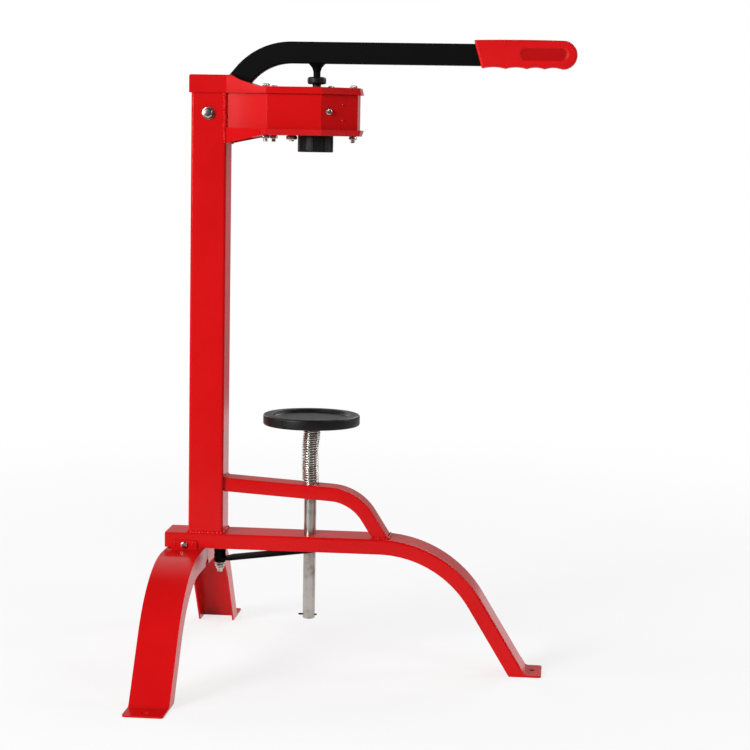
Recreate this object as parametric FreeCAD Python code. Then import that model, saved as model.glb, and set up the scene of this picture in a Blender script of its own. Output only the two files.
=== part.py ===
import FreeCAD, Part
import os
from math import sin, cos, tan, acos, radians, hypot, sqrt, pi

V = FreeCAD.Vector

# Floor-standing wine corker. Millimetres. X runs from the column to the front
# foot, Y across, Z up from the floor. Shapes are written about the column axis.

# Overall reach
rear_reach = 46.0
handle_reach = 407.0

# Column
column_size = 40.0
column_wall = 2.0
column_corner = 3.0

# Base beam, front leg and foot tab: one pressed channel
beam_top = 152.0
beam_height = 17.0
beam_width = 48.0
beam_sheet = 2.5
beam_edge = 2.4
beam_bend = 137.0
beam_fall = 58.5
foot_reach = 386.5
foot_tab_length = 18.2
foot_hole_inset = 10.5
foot_hole = 7.0
foot_corner = 4.0
tab_bend = 5.0

# Upper brace
brace_width = 30.0
brace_height = 16.0
brace_wall = 1.5
brace_top = 215.8
brace_slope = 3.5
brace_corner_back = 25.3
brace_bend = 30.0
brace_fall = 57.4

# Rear legs
leg_rear = 45.0
leg_width = 44.0
leg_sheet = 2.0
leg_top = 133.0
leg_depth = 22.5
leg_bend = 150.0
leg_fall = 55.0
leg_reach = 250.0
leg_tab_length = 33.1
leg_tab_hole_inset = 11.5
lip_width = 29.5
lip_height = 10.5
lip_x = -23.2
leg_bolt_rise = 5.6

# Compression head
head_front = 166.5
head_half = 39.4
head_wide_from = 68.6
head_wide_to = 128.6
nose_half = 14.0
wall_sheet = 2.5
cover_sheet = 1.5
cover_clear = 0.5
cover_top = 657.5
cap_top = 670.0
skirt_bottom = 650.0
rim_flare = 2.0
slope_start = 25.0
slope_end = 58.9
pan_bottom = 604.3
pan_rim = 611.0
pan_drop = 6.8
pan_start = 27.0
cork_hole = 26.0
cork_hole_stretch = 4.0

# Jaws
bore_x = 118.0
closed_bore = 16.5
jaw_gap = 0.3
jaw_width = 24.0
jaw_reach = 22.0
side_jaw_reach = 28.8
plate_thick = 3.0
slide_clear = 0.3
pusher_travel = 6.12
guide_pin = 5.0
guide_pin_out = 20.0
slot_clear = 0.3
fork_half_gap = 9.0
fork_arm = 3.0
fork_height = 9.0
front_block_end = 156.5
guide_block_length = 10.0

# Lever
pivot_z = 627.4
lever_centre = 696.2
lever_height = 24.0
lever_width = 14.0
lever_wall = 1.6
lever_edge = 1.5
lever_angle = 50.0
lever_bend = 70.0
pivot_bolt = 6.0
pivot_clear = 0.05
sleeve_wall = 1.95
drive_radius = 8.0
drive_pin = 5.0
drive_swing = 45.0

# Hand grip
grip_length = 113.8
grip_over = 5.0
grip_under = 2.6
grip_notch = 1.8
grip_wall = 3.0
grip_nose = 14.0
grip_cap = 10.0
grip_socket = 0.1
cusp_back = (104.7, 78.7, 55.1, 35.4, 15.8)
recess_back = 10.1
recess_length = 52.1
recess_height = 14.4
recess_rise = 1.5
recess_depth = 1.2

# Plunger
rod_diameter = 8.0
plunger_x = 118.5
plunger_tip = 600.0
flare_diameter = 19.0
flare_height = 9.2
knob_diameter = 21.0
knob_low = 661.5
knob_high = 669.6
neck_diameter = 9.5
neck_low = 655.0

# Neck guide
guide_diameter = 40.0
guide_bore = 29.0
guide_height = 18.3
guide_spigot = 34.0
guide_lead = 2.5

# Bottle platform
tray_diameter = 110.0
tray_low = 278.0
tray_high = 290.0
tray_recess = 89.0
tray_recess_depth = 4.0
tray_round = 3.0
post_diameter = 14.0
post_low = 53.5
post_seat = 5.0
post_clear = 0.35
cotter_z = 57.5
cotter = 3.4
cotter_out = 2.0
cotter_eye = 3.6

# Platform spring
wire = 1.8
coil_diameter = 17.9
coils = 24
spring_bow = 0.7
spring_tail = 4.6
spring_seat_gap = 0.03
wire_sides = 6

# Lock plate
stud_x = 14.0
stud_low = 104.0
stud_diameter = 6.0
hub_low = 116.0
hub_high = 130.0
hub_diameter = 13.0
hub_bore = 8.0
hub_gap = 0.6
lock_rise = 7.6
lock_sheet = 3.0
lock_width = 25.0
lock_level = 118.9
lock_hole = 16.0
lock_overhang = 13.0

# Fasteners
small_bolt = 4.0
cover_bolt = 5.0
cover_bolt_x = 66.0
cover_bolt_y = 31.0
front_bolt_x = 160.0
nose_bolt_run = 7.4
nose_bolt_z = 631.0
guide_stud_x = 91.0
thread_clear = 0.05
washer_thick = 1.5

# Derived places
column_x = (rear_reach - max(handle_reach, foot_reach)) / 2
beyond = rear_reach + handle_reach
column_half = column_size / 2
nose_bolt_x = head_wide_to + nose_bolt_run
column_top = cap_top - cover_sheet
tray_floor = tray_high - tray_recess_depth
cover_under = cover_top - cover_sheet
pan_floor = pan_bottom + cover_sheet
plate_low = pan_floor + slide_clear
plate_high = plate_low + plate_thick
jaw_low = plate_high + slide_clear
jaw_high = cover_under - slide_clear
bore_radius = closed_bore / 2
jaw_half = jaw_width / 2
lock_slope = tan(radians(lock_rise))
beam_run = (beam_top - beam_sheet) / tan(radians(beam_fall))
beam_corner_x = foot_reach - foot_tab_length - beam_run
beam_straight = beam_corner_x - beam_bend * tan(radians(beam_fall / 2))
brace_corner_x = beam_straight - brace_corner_back
leg_run = (leg_top - leg_sheet) / tan(radians(leg_fall))
leg_corner_y = leg_reach - leg_tab_length - leg_run
lever_end = handle_reach - grip_cap
grip_start = handle_reach - grip_length
grip_top = lever_centre + lever_height / 2 + grip_over
grip_cusp = lever_centre - lever_height / 2 - grip_under
grip_valley = grip_cusp + grip_notch
grip_thick = lever_width + 2 * grip_wall
cusp_x = [handle_reach - back for back in cusp_back]


def side(u, w):
    return V(u, 0, w)


def front(u, w):
    return V(0, u, w)


def plan(u, w):
    return V(u, w, 0)


def unit(a, b):
    length = hypot(b[0] - a[0], b[1] - a[1])
    return (b[0] - a[0]) / length, (b[1] - a[1]) / length


def shifted(points, d):
    """The open outline moved to its right-hand side by d, with mitred corners."""
    out = []
    for i, p in enumerate(points):
        before = unit(points[max(i - 1, 0)], points[max(i, 1)])
        after = unit(points[min(i, len(points) - 2)], points[min(i + 1, len(points) - 1)])
        n0 = (before[1], -before[0])
        n1 = (after[1], -after[0])
        k = d / (1 + n0[0] * n1[0] + n0[1] * n1[1])
        out.append((p[0] + (n0[0] + n1[0]) * k, p[1] + (n0[1] + n1[1]) * k))
    return out


def turns(points):
    """+1 for each left turn of the outline, -1 for each right turn."""
    out = []
    for a, b, c in zip(points, points[1:], points[2:]):
        t0 = unit(a, b)
        t1 = unit(b, c)
        out.append(1 if t0[0] * t1[1] - t0[1] * t1[0] > 0 else -1)
    return out


def path_edges(points, radii, place):
    """Straight runs joined by tangent arcs."""
    edges = []
    start = points[0]
    for i in range(1, len(points) - 1):
        p = points[i]
        r = radii[i - 1]
        t0 = unit(points[i - 1], p)
        t1 = unit(p, points[i + 1])
        half = sqrt(max(0.0, (1 - t0[0] * t1[0] - t0[1] * t1[1]) / 2))
        across = sqrt(1 - half * half)
        reach = r * half / across
        entry = (p[0] - t0[0] * reach, p[1] - t0[1] * reach)
        leave = (p[0] + t1[0] * reach, p[1] + t1[1] * reach)
        bis = unit(t0, t1)
        depth = r / across - r
        mid = (p[0] + bis[0] * depth, p[1] + bis[1] * depth)
        edges.append(Part.makeLine(place(*start), place(*entry)))
        edges.append(Part.Arc(place(*entry), place(*mid), place(*leave)).toShape())
        start = leave
    edges.append(Part.makeLine(place(*start), place(*points[-1])))
    return edges


def band(points, radii, depth, place):
    """Face between an outline and the same outline shifted to its right by depth."""
    inner = shifted(points, depth)
    inner_radii = [r + depth * s for r, s in zip(radii, turns(points))]
    edges = path_edges(points, radii, place)
    back = path_edges(inner[::-1], inner_radii[::-1], place)
    edges.append(Part.makeLine(place(*points[-1]), place(*inner[-1])))
    edges += back
    edges.append(Part.makeLine(place(*inner[0]), place(*points[0])))
    return Part.Face(Part.Wire(Part.__sortEdges__(edges)))


def polygon(points, place):
    corners = [place(*p) for p in points]
    return Part.Face(Part.makePolygon(corners + corners[:1]))


def thick(face, direction, width):
    """Solid of the face spread evenly to both sides."""
    face.translate(direction * (-width / 2))
    return face.extrude(direction * width)


def box(x0, x1, y0, y1, z0, z1):
    return Part.makeBox(x1 - x0, y1 - y0, z1 - z0, V(x0, y0, z0))


def rod(radius, base, direction, length):
    return Part.makeCylinder(radius, length, V(*base), V(*direction))


def ring(outer, inner, base, direction, length):
    return rod(outer, base, direction, length).cut(rod(inner, base, direction, length))


def oriented(shape, base, direction):
    shape.Placement = FreeCAD.Placement(V(*base), FreeCAD.Rotation(V(0, 0, 1), V(*direction)))
    return shape


def hexagon(flats, base, direction, length):
    r = flats / sqrt(3)
    corners = [(r * cos(radians(60 * k)), r * sin(radians(60 * k))) for k in range(6)]
    return oriented(polygon(corners, plan).extrude(V(0, 0, length)), base, direction)


def hex_bolt(diameter, flats, head, length, base, direction):
    """Bolt whose head stands on base; the shank runs against direction."""
    top = hexagon(flats, base, direction, head)
    dome = oriented(Part.makeCone(flats * 0.62, flats * 0.44, head), base, direction)
    top = top.common(dome)
    back = tuple(-c for c in direction)
    return top.fuse(rod(diameter / 2, base, back, length)).removeSplitter()


def hex_nut(diameter, flats, height, base, direction):
    nut = hexagon(flats, base, direction, height)
    return nut.cut(rod(diameter / 2 + thread_clear, base, direction, height))


def mirrored(shape):
    return shape.mirror(V(0, 0, 0), V(0, 1, 0))


def long_edges(shape, test):
    return [e for e in shape.Edges if test(e)]


def column_tube():
    half = column_half
    outer = box(-half, half, -half, half, beam_top, column_top)
    uprights = long_edges(outer, lambda e: abs(e.BoundBox.ZLength - (column_top - beam_top)) < 0.01)
    outer = outer.makeFillet(column_corner, uprights)
    inner_half = half - column_wall
    inner = box(-inner_half, inner_half, -inner_half, inner_half, beam_top, column_top)
    uprights = long_edges(inner, lambda e: abs(e.BoundBox.ZLength - (column_top - beam_top)) < 0.01)
    inner = inner.makeFillet(column_corner - column_wall, uprights)
    tube = outer.cut(inner)
    window = fork_half_gap + fork_arm + 1.5
    tube = tube.cut(box(0, half + 1, -window, window, pivot_z - 6, column_top + 1))
    hole = rod(pivot_bolt / 2 + pivot_clear, (0, -half - 1, pivot_z), (0, 1, 0), column_size + 2)
    return tube.cut(hole)


def beam_outline(foot):
    foot_x = beam_corner_x + (beam_top - foot) / tan(radians(beam_fall))
    return [(-rear_reach, beam_top), (beam_corner_x, beam_top), (foot_x, foot)]


def foot_tab(end, inset, width, sheet, corner, hole):
    """Flat tab along +X with rounded free corners and its screw hole."""
    tab = box(0, end, -width / 2, width / 2, 0, sheet)
    free = long_edges(tab, lambda e: e.BoundBox.XMin > end - 0.01 and e.BoundBox.YLength < 0.01)
    tab = tab.makeFillet(corner, free)
    return tab.cut(rod(hole / 2, (end - inset, 0, -1), (0, 0, 1), sheet + 2))


def base_beam():
    slope_end = beam_outline(-20)
    outer = thick(band(slope_end, [beam_bend], beam_height, side), V(0, 1, 0), beam_width)
    half = beam_width / 2
    edges = long_edges(outer, lambda e: on_outer(e, slope_end, half))
    outer = outer.makeFillet(beam_edge, edges)
    inner_path = shifted(slope_end, beam_sheet)
    inner_path[0] = (inner_path[0][0] - 1, inner_path[0][1])
    inner = band(inner_path, [beam_bend - beam_sheet], beam_height, side)
    channel = outer.cut(thick(inner, V(0, 1, 0), beam_width - 2 * beam_sheet))
    channel = channel.common(box(-beyond, beyond, -half, half, 0, beam_top + 1))
    path = beam_outline(beam_sheet) + [(foot_reach, beam_sheet)]
    web = band(path[1:], [tab_bend], beam_sheet, side)
    web = thick(web, V(0, 1, 0), beam_width)
    joint_x = beam_outline(beam_sheet)[-1][0]
    web = web.common(box(joint_x - 6, foot_reach + 1, -half, half, 0, 12))
    tab = foot_tab(foot_reach - joint_x, foot_hole_inset, beam_width, beam_sheet, foot_corner,
                   foot_hole)
    tab.translate(V(joint_x, 0, 0))
    web = web.common(tab.fuse(box(joint_x - 8, joint_x + 2, -half, half, 0, 14)))
    channel = channel.fuse(web).removeSplitter()
    post_hole = rod(post_diameter / 2 + post_clear, (bore_x, 0, beam_top - 10), (0, 0, 1), 20)
    bolt_hole = rod(small_bolt / 2 + 0.2, (lip_x, -half - 1, leg_top + leg_bolt_rise), (0, 1, 0),
                    beam_width + 2)
    return channel.cut(post_hole).cut(bolt_hole)


def on_outer(edge, path, half):
    """True for the long outer edges of a channel laid along path."""
    box_ = edge.BoundBox
    if abs(abs(box_.YMin) - half) > 0.01 or box_.YLength > 0.01:
        return False
    middle = edge.valueAt((edge.FirstParameter + edge.LastParameter) / 2)
    flat = abs(middle.z - path[0][1]) < 0.01 and middle.x < beam_straight
    t = unit(path[1], path[2])
    off = (middle.x - path[1][0]) * t[1] - (middle.z - path[1][1]) * t[0]
    slope = abs(off) < 0.01
    centre = V(beam_straight, middle.y, beam_top - beam_bend)
    arc = abs(middle.distanceToPoint(centre) - beam_bend) < 0.01
    return (flat or slope or arc) and edge.Length > beam_sheet * 4


def brace_outline(inset):
    slope = radians(brace_slope)
    fall = radians(brace_fall)
    corner_z = brace_top - (brace_corner_x - column_half) * tan(slope)
    start = (column_half - 20, brace_top + 20 * tan(slope))
    low = beam_top - 30
    end = (brace_corner_x + (corner_z - low) / tan(fall), low)
    return shifted([start, (brace_corner_x, corner_z), end], inset)


def upper_brace():
    outer = thick(band(brace_outline(0), [brace_bend], brace_height, side), V(0, 1, 0), brace_width)
    half = brace_width / 2
    corners = long_edges(outer, lambda e: e.BoundBox.YLength < 0.01 and e.Length > brace_height + 3
                         and abs(abs(e.BoundBox.YMin) - half) < 0.01)
    outer = outer.makeFillet(brace_wall + 0.6, corners)
    inner_height = brace_height - 2 * brace_wall
    inner = band(brace_outline(brace_wall), [brace_bend - brace_wall], inner_height, side)
    tube = outer.cut(thick(inner, V(0, 1, 0), brace_width - 2 * brace_wall))
    tube = tube.common(box(column_half, beyond, -half, half, beam_top, brace_top + 5))
    hole = rod(post_diameter / 2 + post_clear, (bore_x, 0, beam_top + 5), (0, 0, 1), 80)
    return tube.cut(hole)


def brace_top_at(x):
    return brace_top - (x - column_half) * tan(radians(brace_slope))


def leg_outline(foot, start):
    fall = radians(leg_fall)
    foot_y = leg_corner_y + (leg_top - foot) / tan(fall)
    return [(start, leg_top), (leg_corner_y, leg_top), (foot_y, foot)]


def rear_leg():
    middle = leg_width / 2 - leg_rear
    path = leg_outline(-20, 0.5)
    outer = thick(band(path, [leg_bend], leg_depth, front), V(1, 0, 0), leg_width)
    inner_path = shifted(path, leg_sheet)
    inner_path[0] = (inner_path[0][0] - 1, inner_path[0][1])
    inner = band(inner_path, [leg_bend - leg_sheet], leg_depth, front)
    channel = outer.cut(thick(inner, V(1, 0, 0), leg_width - 2 * leg_sheet))
    half = leg_width / 2
    beam_side = beam_width / 2
    channel = channel.common(box(-half, half, 0, beyond, 0, leg_top + 1))
    channel = channel.cut(box(-half + leg_sheet, half - leg_sheet, -1, beam_side, leg_top - 5, leg_top + 1))
    flat = leg_outline(leg_sheet, 0)[-1][0]
    tab = foot_tab(leg_reach - flat, leg_tab_hole_inset, leg_width, leg_sheet, foot_corner, foot_hole)
    tab.rotate(V(0, 0, 0), V(0, 0, 1), 90)
    tab.translate(V(0, flat, 0))
    toe = leg_outline(leg_sheet, 0)[1:] + [(leg_reach, leg_sheet)]
    toe = thick(band(toe, [tab_bend], leg_sheet, front), V(1, 0, 0), leg_width)
    toe = toe.common(box(-half, half, flat - 6, leg_reach + 1, 0, 12))
    toe = toe.common(tab.fuse(box(-half, half, flat - 8, flat + 2, 0, 14)))
    channel = channel.fuse(toe)
    shoulder = rod(leg_depth * 0.4, (-half - 1, 0.5 + leg_depth * 0.4, leg_top - leg_depth * 0.4),
                   (1, 0, 0), leg_width + 2)
    notch = box(-half - 1, half + 1, 0, leg_depth * 0.4 + 0.5, leg_top - leg_depth - 1,
                leg_top - leg_depth * 0.4)
    channel = channel.cut(notch.cut(shoulder))
    channel.translate(V(middle, 0, 0))
    lip = box(lip_x - lip_width / 2, lip_x + lip_width / 2, beam_side, beam_side + leg_sheet,
              leg_top - leg_sheet, leg_top + lip_height)
    ends = long_edges(lip, lambda e: e.BoundBox.ZMin > leg_top + lip_height - 0.01
                      and e.BoundBox.XLength < 0.01)
    lip = lip.makeFillet(leg_sheet * 1.5, ends)
    leg = channel.fuse(lip).removeSplitter()
    hole = rod(small_bolt / 2 + 0.4, (lip_x, beam_side - 1, leg_top + leg_bolt_rise), (0, 1, 0), 5)
    return leg.cut(hole)


def leg_bolt_place():
    return (lip_x, beam_width / 2 + leg_sheet, leg_top + leg_bolt_rise)


def leg_bolts():
    grip_length = leg_sheet + beam_sheet + small_bolt * 0.8 + 1.2
    bolt = hex_bolt(small_bolt, 7.0, 2.8, grip_length, leg_bolt_place(), (0, 1, 0))
    return Part.Compound([bolt, mirrored(bolt)])


def leg_nuts():
    x, y, z = leg_bolt_place()
    inside = beam_width / 2 - beam_sheet
    nut = hex_nut(small_bolt, 7.0, small_bolt * 0.8, (x, inside, z), (0, -1, 0))
    return Part.Compound([nut, mirrored(nut)])


def head_outline():
    """Right-hand side outline of the side wall, from the column to the nose."""
    return [(column_half, -column_half), (head_wide_from, -head_half), (head_wide_to, -head_half),
            (head_front, -nose_half), (head_front, nose_half), (head_wide_to, head_half),
            (head_wide_from, head_half), (column_half, column_half)]


def head_plan(offset, start):
    """Closed outline round the head, grown by offset and cut off square at start."""
    grown = shifted(head_outline(), offset)
    run = unit(grown[0], grown[1])
    k = (start - grown[0][0]) / run[0]
    y = grown[0][1] + run[1] * k
    return [(start, y)] + grown[1:-1] + [(start, -y)]


def head_side_wall():
    outer = polygon(head_plan(0, column_half), plan)
    inner = polygon(head_plan(-wall_sheet, column_half - 1), plan)
    outer.translate(V(0, 0, pan_floor))
    inner.translate(V(0, 0, pan_floor))
    height = V(0, 0, cover_under - pan_floor)
    wall = outer.extrude(height).cut(inner.extrude(height))
    for place, direction in nose_bolt_places():
        back = tuple(-c for c in direction)
        base = tuple(p + d for p, d in zip(place, direction))
        wall = wall.cut(rod(small_bolt / 2 + 0.3, base, back, wall_sheet + 2))
    return wall


def nose_slant():
    """Outward direction of the slanted nose face on the -Y side."""
    run = unit((head_wide_to, -head_half), (head_front, -nose_half))
    return run[1], -run[0]


def nose_bolt_places():
    out = []
    nx, ny = nose_slant()
    slope = (head_half - nose_half) / (head_front - head_wide_to)
    y = head_half - (nose_bolt_x - head_wide_to) * slope
    out.append(((nose_bolt_x, -y, nose_bolt_z), (nx, ny, 0)))
    out.append(((nose_bolt_x, y, nose_bolt_z), (nx, -ny, 0)))
    return out


def skirt(offset, z0, z1, start):
    """Flared skirt between two heights, wider by rim_flare at z0."""
    wires = []
    for z, grow in ((z0, rim_flare), (z1, 0)):
        corners = [V(x, y, z) for x, y in head_plan(offset + grow, start)]
        wires.append(Part.makePolygon(corners + corners[:1]))
    return Part.makeLoft(wires, True, True)


def cover_block(grow, drop):
    """Solid under the top cover's skin; grow and drop move its sides and its top."""
    reach = column_half + cover_clear + grow
    cap = box(-reach, slope_start + grow, -reach, reach, skirt_bottom - 1, cap_top - drop)
    sides = polygon(head_plan(cover_clear + grow, column_half), plan)
    sides.translate(V(0, 0, skirt_bottom - 1))
    sides = sides.extrude(V(0, 0, cap_top - skirt_bottom))
    top = shifted(cover_knees(), drop)
    top = [(0, skirt_bottom - 1)] + top + [(beyond, skirt_bottom - 1)]
    roof = thick(polygon(top, side), V(0, 1, 0), beyond)
    body = cap.fuse(sides.common(roof))
    return body.fuse(skirt(cover_clear + grow, skirt_bottom - 1, cover_top - drop, column_half))


def head_top_cover():
    shell = cover_block(cover_sheet, 0).cut(cover_block(0, cover_sheet))
    shell = shell.common(box(-beyond, beyond, -beyond, beyond, skirt_bottom, cap_top + 1))
    r = cork_hole / 2
    tall = 30.0
    hole = rod(r, (bore_x, 0, cover_top - 15), (0, 0, 1), tall)
    hole = hole.fuse(rod(r, (bore_x - cork_hole_stretch, 0, cover_top - 15), (0, 0, 1), tall))
    hole = hole.fuse(box(bore_x - cork_hole_stretch, bore_x, -r, r, cover_top - 15, cover_top + 15))
    slot_half = lever_width / 2 + 1.0
    slot = box(-17, lever_slot_end(), -slot_half, slot_half, cover_top - 15, cap_top + 1)
    shell = shell.cut(hole.fuse(slot))
    for x, y in cover_bolt_places():
        shell = shell.cut(rod(cover_bolt / 2 + 0.2, (x, y, cover_top - 10), (0, 0, 1), 20))
    return shell.cut(rod(small_bolt / 2 + 0.2, (*cover_screw_place(), cover_top - 10), (0, 0, 1), 20))


def cover_knees():
    """Side outline of the covers' top: flat over the column, a slope, flat over the head."""
    span = slope_end - slope_start
    return [(0, cap_top), (slope_start, cap_top), (slope_start + span * 0.34, cap_top - 5.6),
            (slope_start + span * 0.84, cover_top + 1.6), (slope_end, cover_top), (beyond, cover_top)]


def lever_slot_end():
    """Front end of the slot, where the lever's underside meets the slope, plus clearance."""
    a = radians(lever_angle)
    (x2, z2), (x3, z3) = cover_knees()[2:4]
    fall = (z2 - z3) / (x3 - x2)
    reach = (z2 + fall * x2 - pivot_z) / tan(a) + lever_height / 2 / sin(a)
    return reach / (1 + fall / tan(a)) + slide_clear + 0.1


def cover_bolt_places():
    return [(cover_bolt_x, -cover_bolt_y), (cover_bolt_x, cover_bolt_y), (front_bolt_x, 0.0)]


def cover_screw_place():
    return (bore_x + 15.0, 16.0)


def pan_block(grow, lift):
    """Solid of the bottom pan; grow and lift move its sides and its floor."""
    wires = []
    for z, offset in ((pan_bottom + lift, 0), (pan_rim, rim_flare)):
        corners = [V(x, y, z) for x, y in head_plan(cover_clear + grow + offset, pan_start)]
        wires.append(Part.makePolygon(corners + corners[:1]))
    body = Part.makeLoft(wires, True, True)
    slant = [(pan_start, pan_bottom - pan_drop), (slope_end, pan_bottom), (slope_end, pan_rim),
             (pan_start, pan_rim)]
    if lift:
        slant = [(pan_start, pan_bottom - pan_drop + lift), (slope_end, pan_bottom + lift),
                 (slope_end, pan_rim), (pan_start, pan_rim)]
    deep = polygon(head_plan(cover_clear + grow, pan_start), plan)
    deep.translate(V(0, 0, pan_bottom - pan_drop))
    deep = deep.extrude(V(0, 0, pan_rim - pan_bottom + pan_drop))
    return body.fuse(deep.common(thick(polygon(slant, side), V(0, 1, 0), beyond)))


def head_bottom_cover():
    shell = pan_block(cover_sheet, 0).cut(pan_block(0, cover_sheet))
    shell = shell.cut(box(0, slope_end - 14, -40, 40, pan_bottom - 20, pan_floor))
    shell = shell.fuse(pan_floor_plate())
    shell = shell.cut(rod(guide_spigot / 2, (bore_x, 0, pan_bottom - 5), (0, 0, 1), 20))
    for x, y in cover_bolt_places():
        shell = shell.cut(rod(cover_bolt / 2 + 0.2, (x, y, pan_bottom - 10), (0, 0, 1), 30))
    stud = rod(cover_bolt / 2 + 0.2, (guide_stud_x, 0, pan_bottom - 5), (0, 0, 1), 10)
    return shell.cut(stud)


def pan_floor_plate():
    """Flat floor of the pan behind the slanted flaps."""
    flat = polygon(head_plan(0, pan_start), plan)
    flat.translate(V(0, 0, pan_bottom))
    return flat.extrude(V(0, 0, cover_sheet))


def cover_bolts():
    length = cover_top - pan_bottom + 7.5
    out = []
    for x, y in cover_bolt_places():
        out.append(hex_bolt(cover_bolt, 8.0, 3.2, length, (x, y, cover_top), (0, 0, 1)))
    return Part.Compound(out)


def cover_nuts():
    out = []
    for x, y in cover_bolt_places():
        out.append(hex_nut(cover_bolt, 8.0, 4.0, (x, y, pan_bottom), (0, 0, -1)))
    return Part.Compound(out)


def cover_screw():
    x, y = cover_screw_place()
    return hex_bolt(small_bolt, 7.0, 2.8, cover_sheet + 8, (x, y, cover_top), (0, 0, 1))


def nose_bolts():
    out = []
    for place, direction in nose_bolt_places():
        out.append(hex_bolt(small_bolt, 7.0, 2.8, wall_sheet + 4.0, place, direction))
    return Part.Compound(out)


def jaw_wedge(reach, z0, z1):
    """Quarter jaw along +X from the bore: 45 degree flanks, concave nose."""
    cut_back = jaw_gap / 2 * sqrt(2)
    outline = [(cut_back, 0), (jaw_half + cut_back, jaw_half), (reach, jaw_half),
               (reach, -jaw_half), (jaw_half + cut_back, -jaw_half)]
    block = polygon(outline, plan)
    block.translate(V(0, 0, z0))
    block = block.extrude(V(0, 0, z1 - z0))
    return block.cut(rod(bore_radius, (0, 0, z0 - 1), (0, 0, 1), z1 - z0 + 2))


def lead_in(z, flare):
    """Cone that eases the cork into the jaws from above."""
    return Part.makeCone(bore_radius, bore_radius + flare, flare, V(0, 0, z - flare))


def placed_jaw(shape, angle):
    shape.rotate(V(0, 0, 0), V(0, 0, 1), angle)
    shape.translate(V(bore_x, 0, 0))
    return shape


def rear_jaw():
    jaw = jaw_wedge(jaw_reach, plate_high, jaw_high).cut(lead_in(jaw_high, 3.0))
    return placed_jaw(jaw, 180)


def side_jaw(angle):
    jaw = jaw_wedge(side_jaw_reach, jaw_low, jaw_high).cut(lead_in(jaw_high, 3.0))
    pin = rod(guide_pin / 2, (guide_pin_out, 0, plate_low + 0.2), (0, 0, 1), jaw_low - plate_low)
    return placed_jaw(jaw.fuse(pin).removeSplitter(), angle)


def front_jaw():
    wedge = jaw_wedge(jaw_half + 4.0, jaw_low, jaw_high).cut(lead_in(jaw_high, 3.0))
    wedge = placed_jaw(wedge, 0)
    start = bore_x + jaw_half + slide_clear
    inner = polygon(head_plan(-wall_sheet, column_half), plan)
    inner.translate(V(0, 0, jaw_low))
    inner = inner.extrude(V(0, 0, cover_under - jaw_low))
    block = inner.common(box(start, front_block_end, -head_half, head_half, jaw_low, cover_under))
    base_start = bore_x + 2 * jaw_half
    foot = polygon(head_plan(-wall_sheet, column_half), plan)
    foot.translate(V(0, 0, pan_floor))
    foot = foot.extrude(V(0, 0, jaw_low - pan_floor))
    foot = foot.common(box(base_start, front_block_end, -head_half, head_half, pan_floor, jaw_low))
    block = block.fuse([foot, wedge]).removeSplitter()
    for place, direction in nose_bolt_places():
        back = tuple(-c for c in direction)
        block = block.cut(rod(small_bolt / 2 + thread_clear, place, back, wall_sheet + 5.0))
    x, y = cover_screw_place()
    return block.cut(rod(small_bolt / 2 + thread_clear, (x, y, cover_top - 12), (0, 0, 1), 20))


def jaw_guides():
    end = bore_x - jaw_half - slide_clear
    inner = polygon(head_plan(-wall_sheet, column_half), plan)
    inner.translate(V(0, 0, jaw_low))
    inner = inner.extrude(V(0, 0, cover_under - jaw_low))
    near = inner.common(box(end - guide_block_length, end, -head_half, -jaw_half - slide_clear,
                            jaw_low, cover_under))
    return Part.Compound([near, mirrored(near)])


def pusher_fork():
    throat = closed_bore / 2 + 4.25
    rear = guide_stud_x - cover_bolt - 9.0
    tip = bore_x + jaw_half + 1.0
    half = guide_pin_out + pusher_travel + guide_pin / 2 + 3.2
    plate = box(rear, tip, -half, half, plate_low, plate_high)
    plate = plate.cut(rod(throat, (bore_x, 0, plate_low - 1), (0, 0, 1), 5))
    plate = plate.cut(box(bore_x, tip + 1, -throat, throat, plate_low - 1, plate_high + 1))
    slot = cam_slot()
    plate = plate.cut(slot).cut(mirrored(slot))
    plate = plate.cut(stud_slot())
    back = bore_x - jaw_reach
    wall = box(back - 4, back, -jaw_half, jaw_half, plate_high, cover_under - slide_clear)
    level = drive_place()[1]
    arm_low = pivot_z + pivot_bolt / 2 + pivot_clear + sleeve_wall + 0.35
    arm = box(-drive_radius - 1, back - 4, -fork_half_gap - fork_arm, -fork_half_gap, arm_low,
              arm_low + fork_height)
    slit = drive_pin / 2 + slot_clear / 2
    pin_x = drive_place()[0]
    arm = arm.cut(box(pin_x - slit, pin_x + slit, -20, 20, arm_low - 1, level + slit + 1))
    return plate.fuse([wall, arm, mirrored(arm)]).removeSplitter()


def cam_slot():
    """45 degree slot that drives the left side jaw's pin."""
    r = guide_pin / 2 + slot_clear
    slot = rod(r, (bore_x, guide_pin_out, plate_low - 1), (0, 0, 1), plate_thick + 2)
    end = slot.copy()
    end.translate(V(pusher_travel, pusher_travel, 0))
    run = box(0, pusher_travel * sqrt(2), -r, r, plate_low - 1, plate_high + 1)
    run.rotate(V(0, 0, 0), V(0, 0, 1), 45)
    run.translate(V(bore_x, guide_pin_out, 0))
    return slot.fuse([end, run])


def stud_slot():
    r = cover_bolt / 2 + 2.0 + slot_clear
    slot = rod(r, (guide_stud_x, 0, plate_low - 1), (0, 0, 1), plate_thick + 2)
    end = slot.copy()
    end.translate(V(pusher_travel, 0, 0))
    return slot.fuse([end, box(guide_stud_x, guide_stud_x + pusher_travel, -r, r,
                               plate_low - 1, plate_high + 1)])


def guide_stud():
    collar = rod(cover_bolt / 2 + 2.0, (guide_stud_x, 0, pan_floor), (0, 0, 1),
                 plate_thick + slide_clear - 0.2)
    shank = rod(cover_bolt / 2, (guide_stud_x, 0, pan_bottom - 6.5), (0, 0, 1), cover_sheet + 6.5)
    return collar.fuse(shank).removeSplitter()


def guide_nut():
    return hex_nut(cover_bolt, 11.0, 5.0, (guide_stud_x, 0, pan_bottom), (0, 0, -1))


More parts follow.
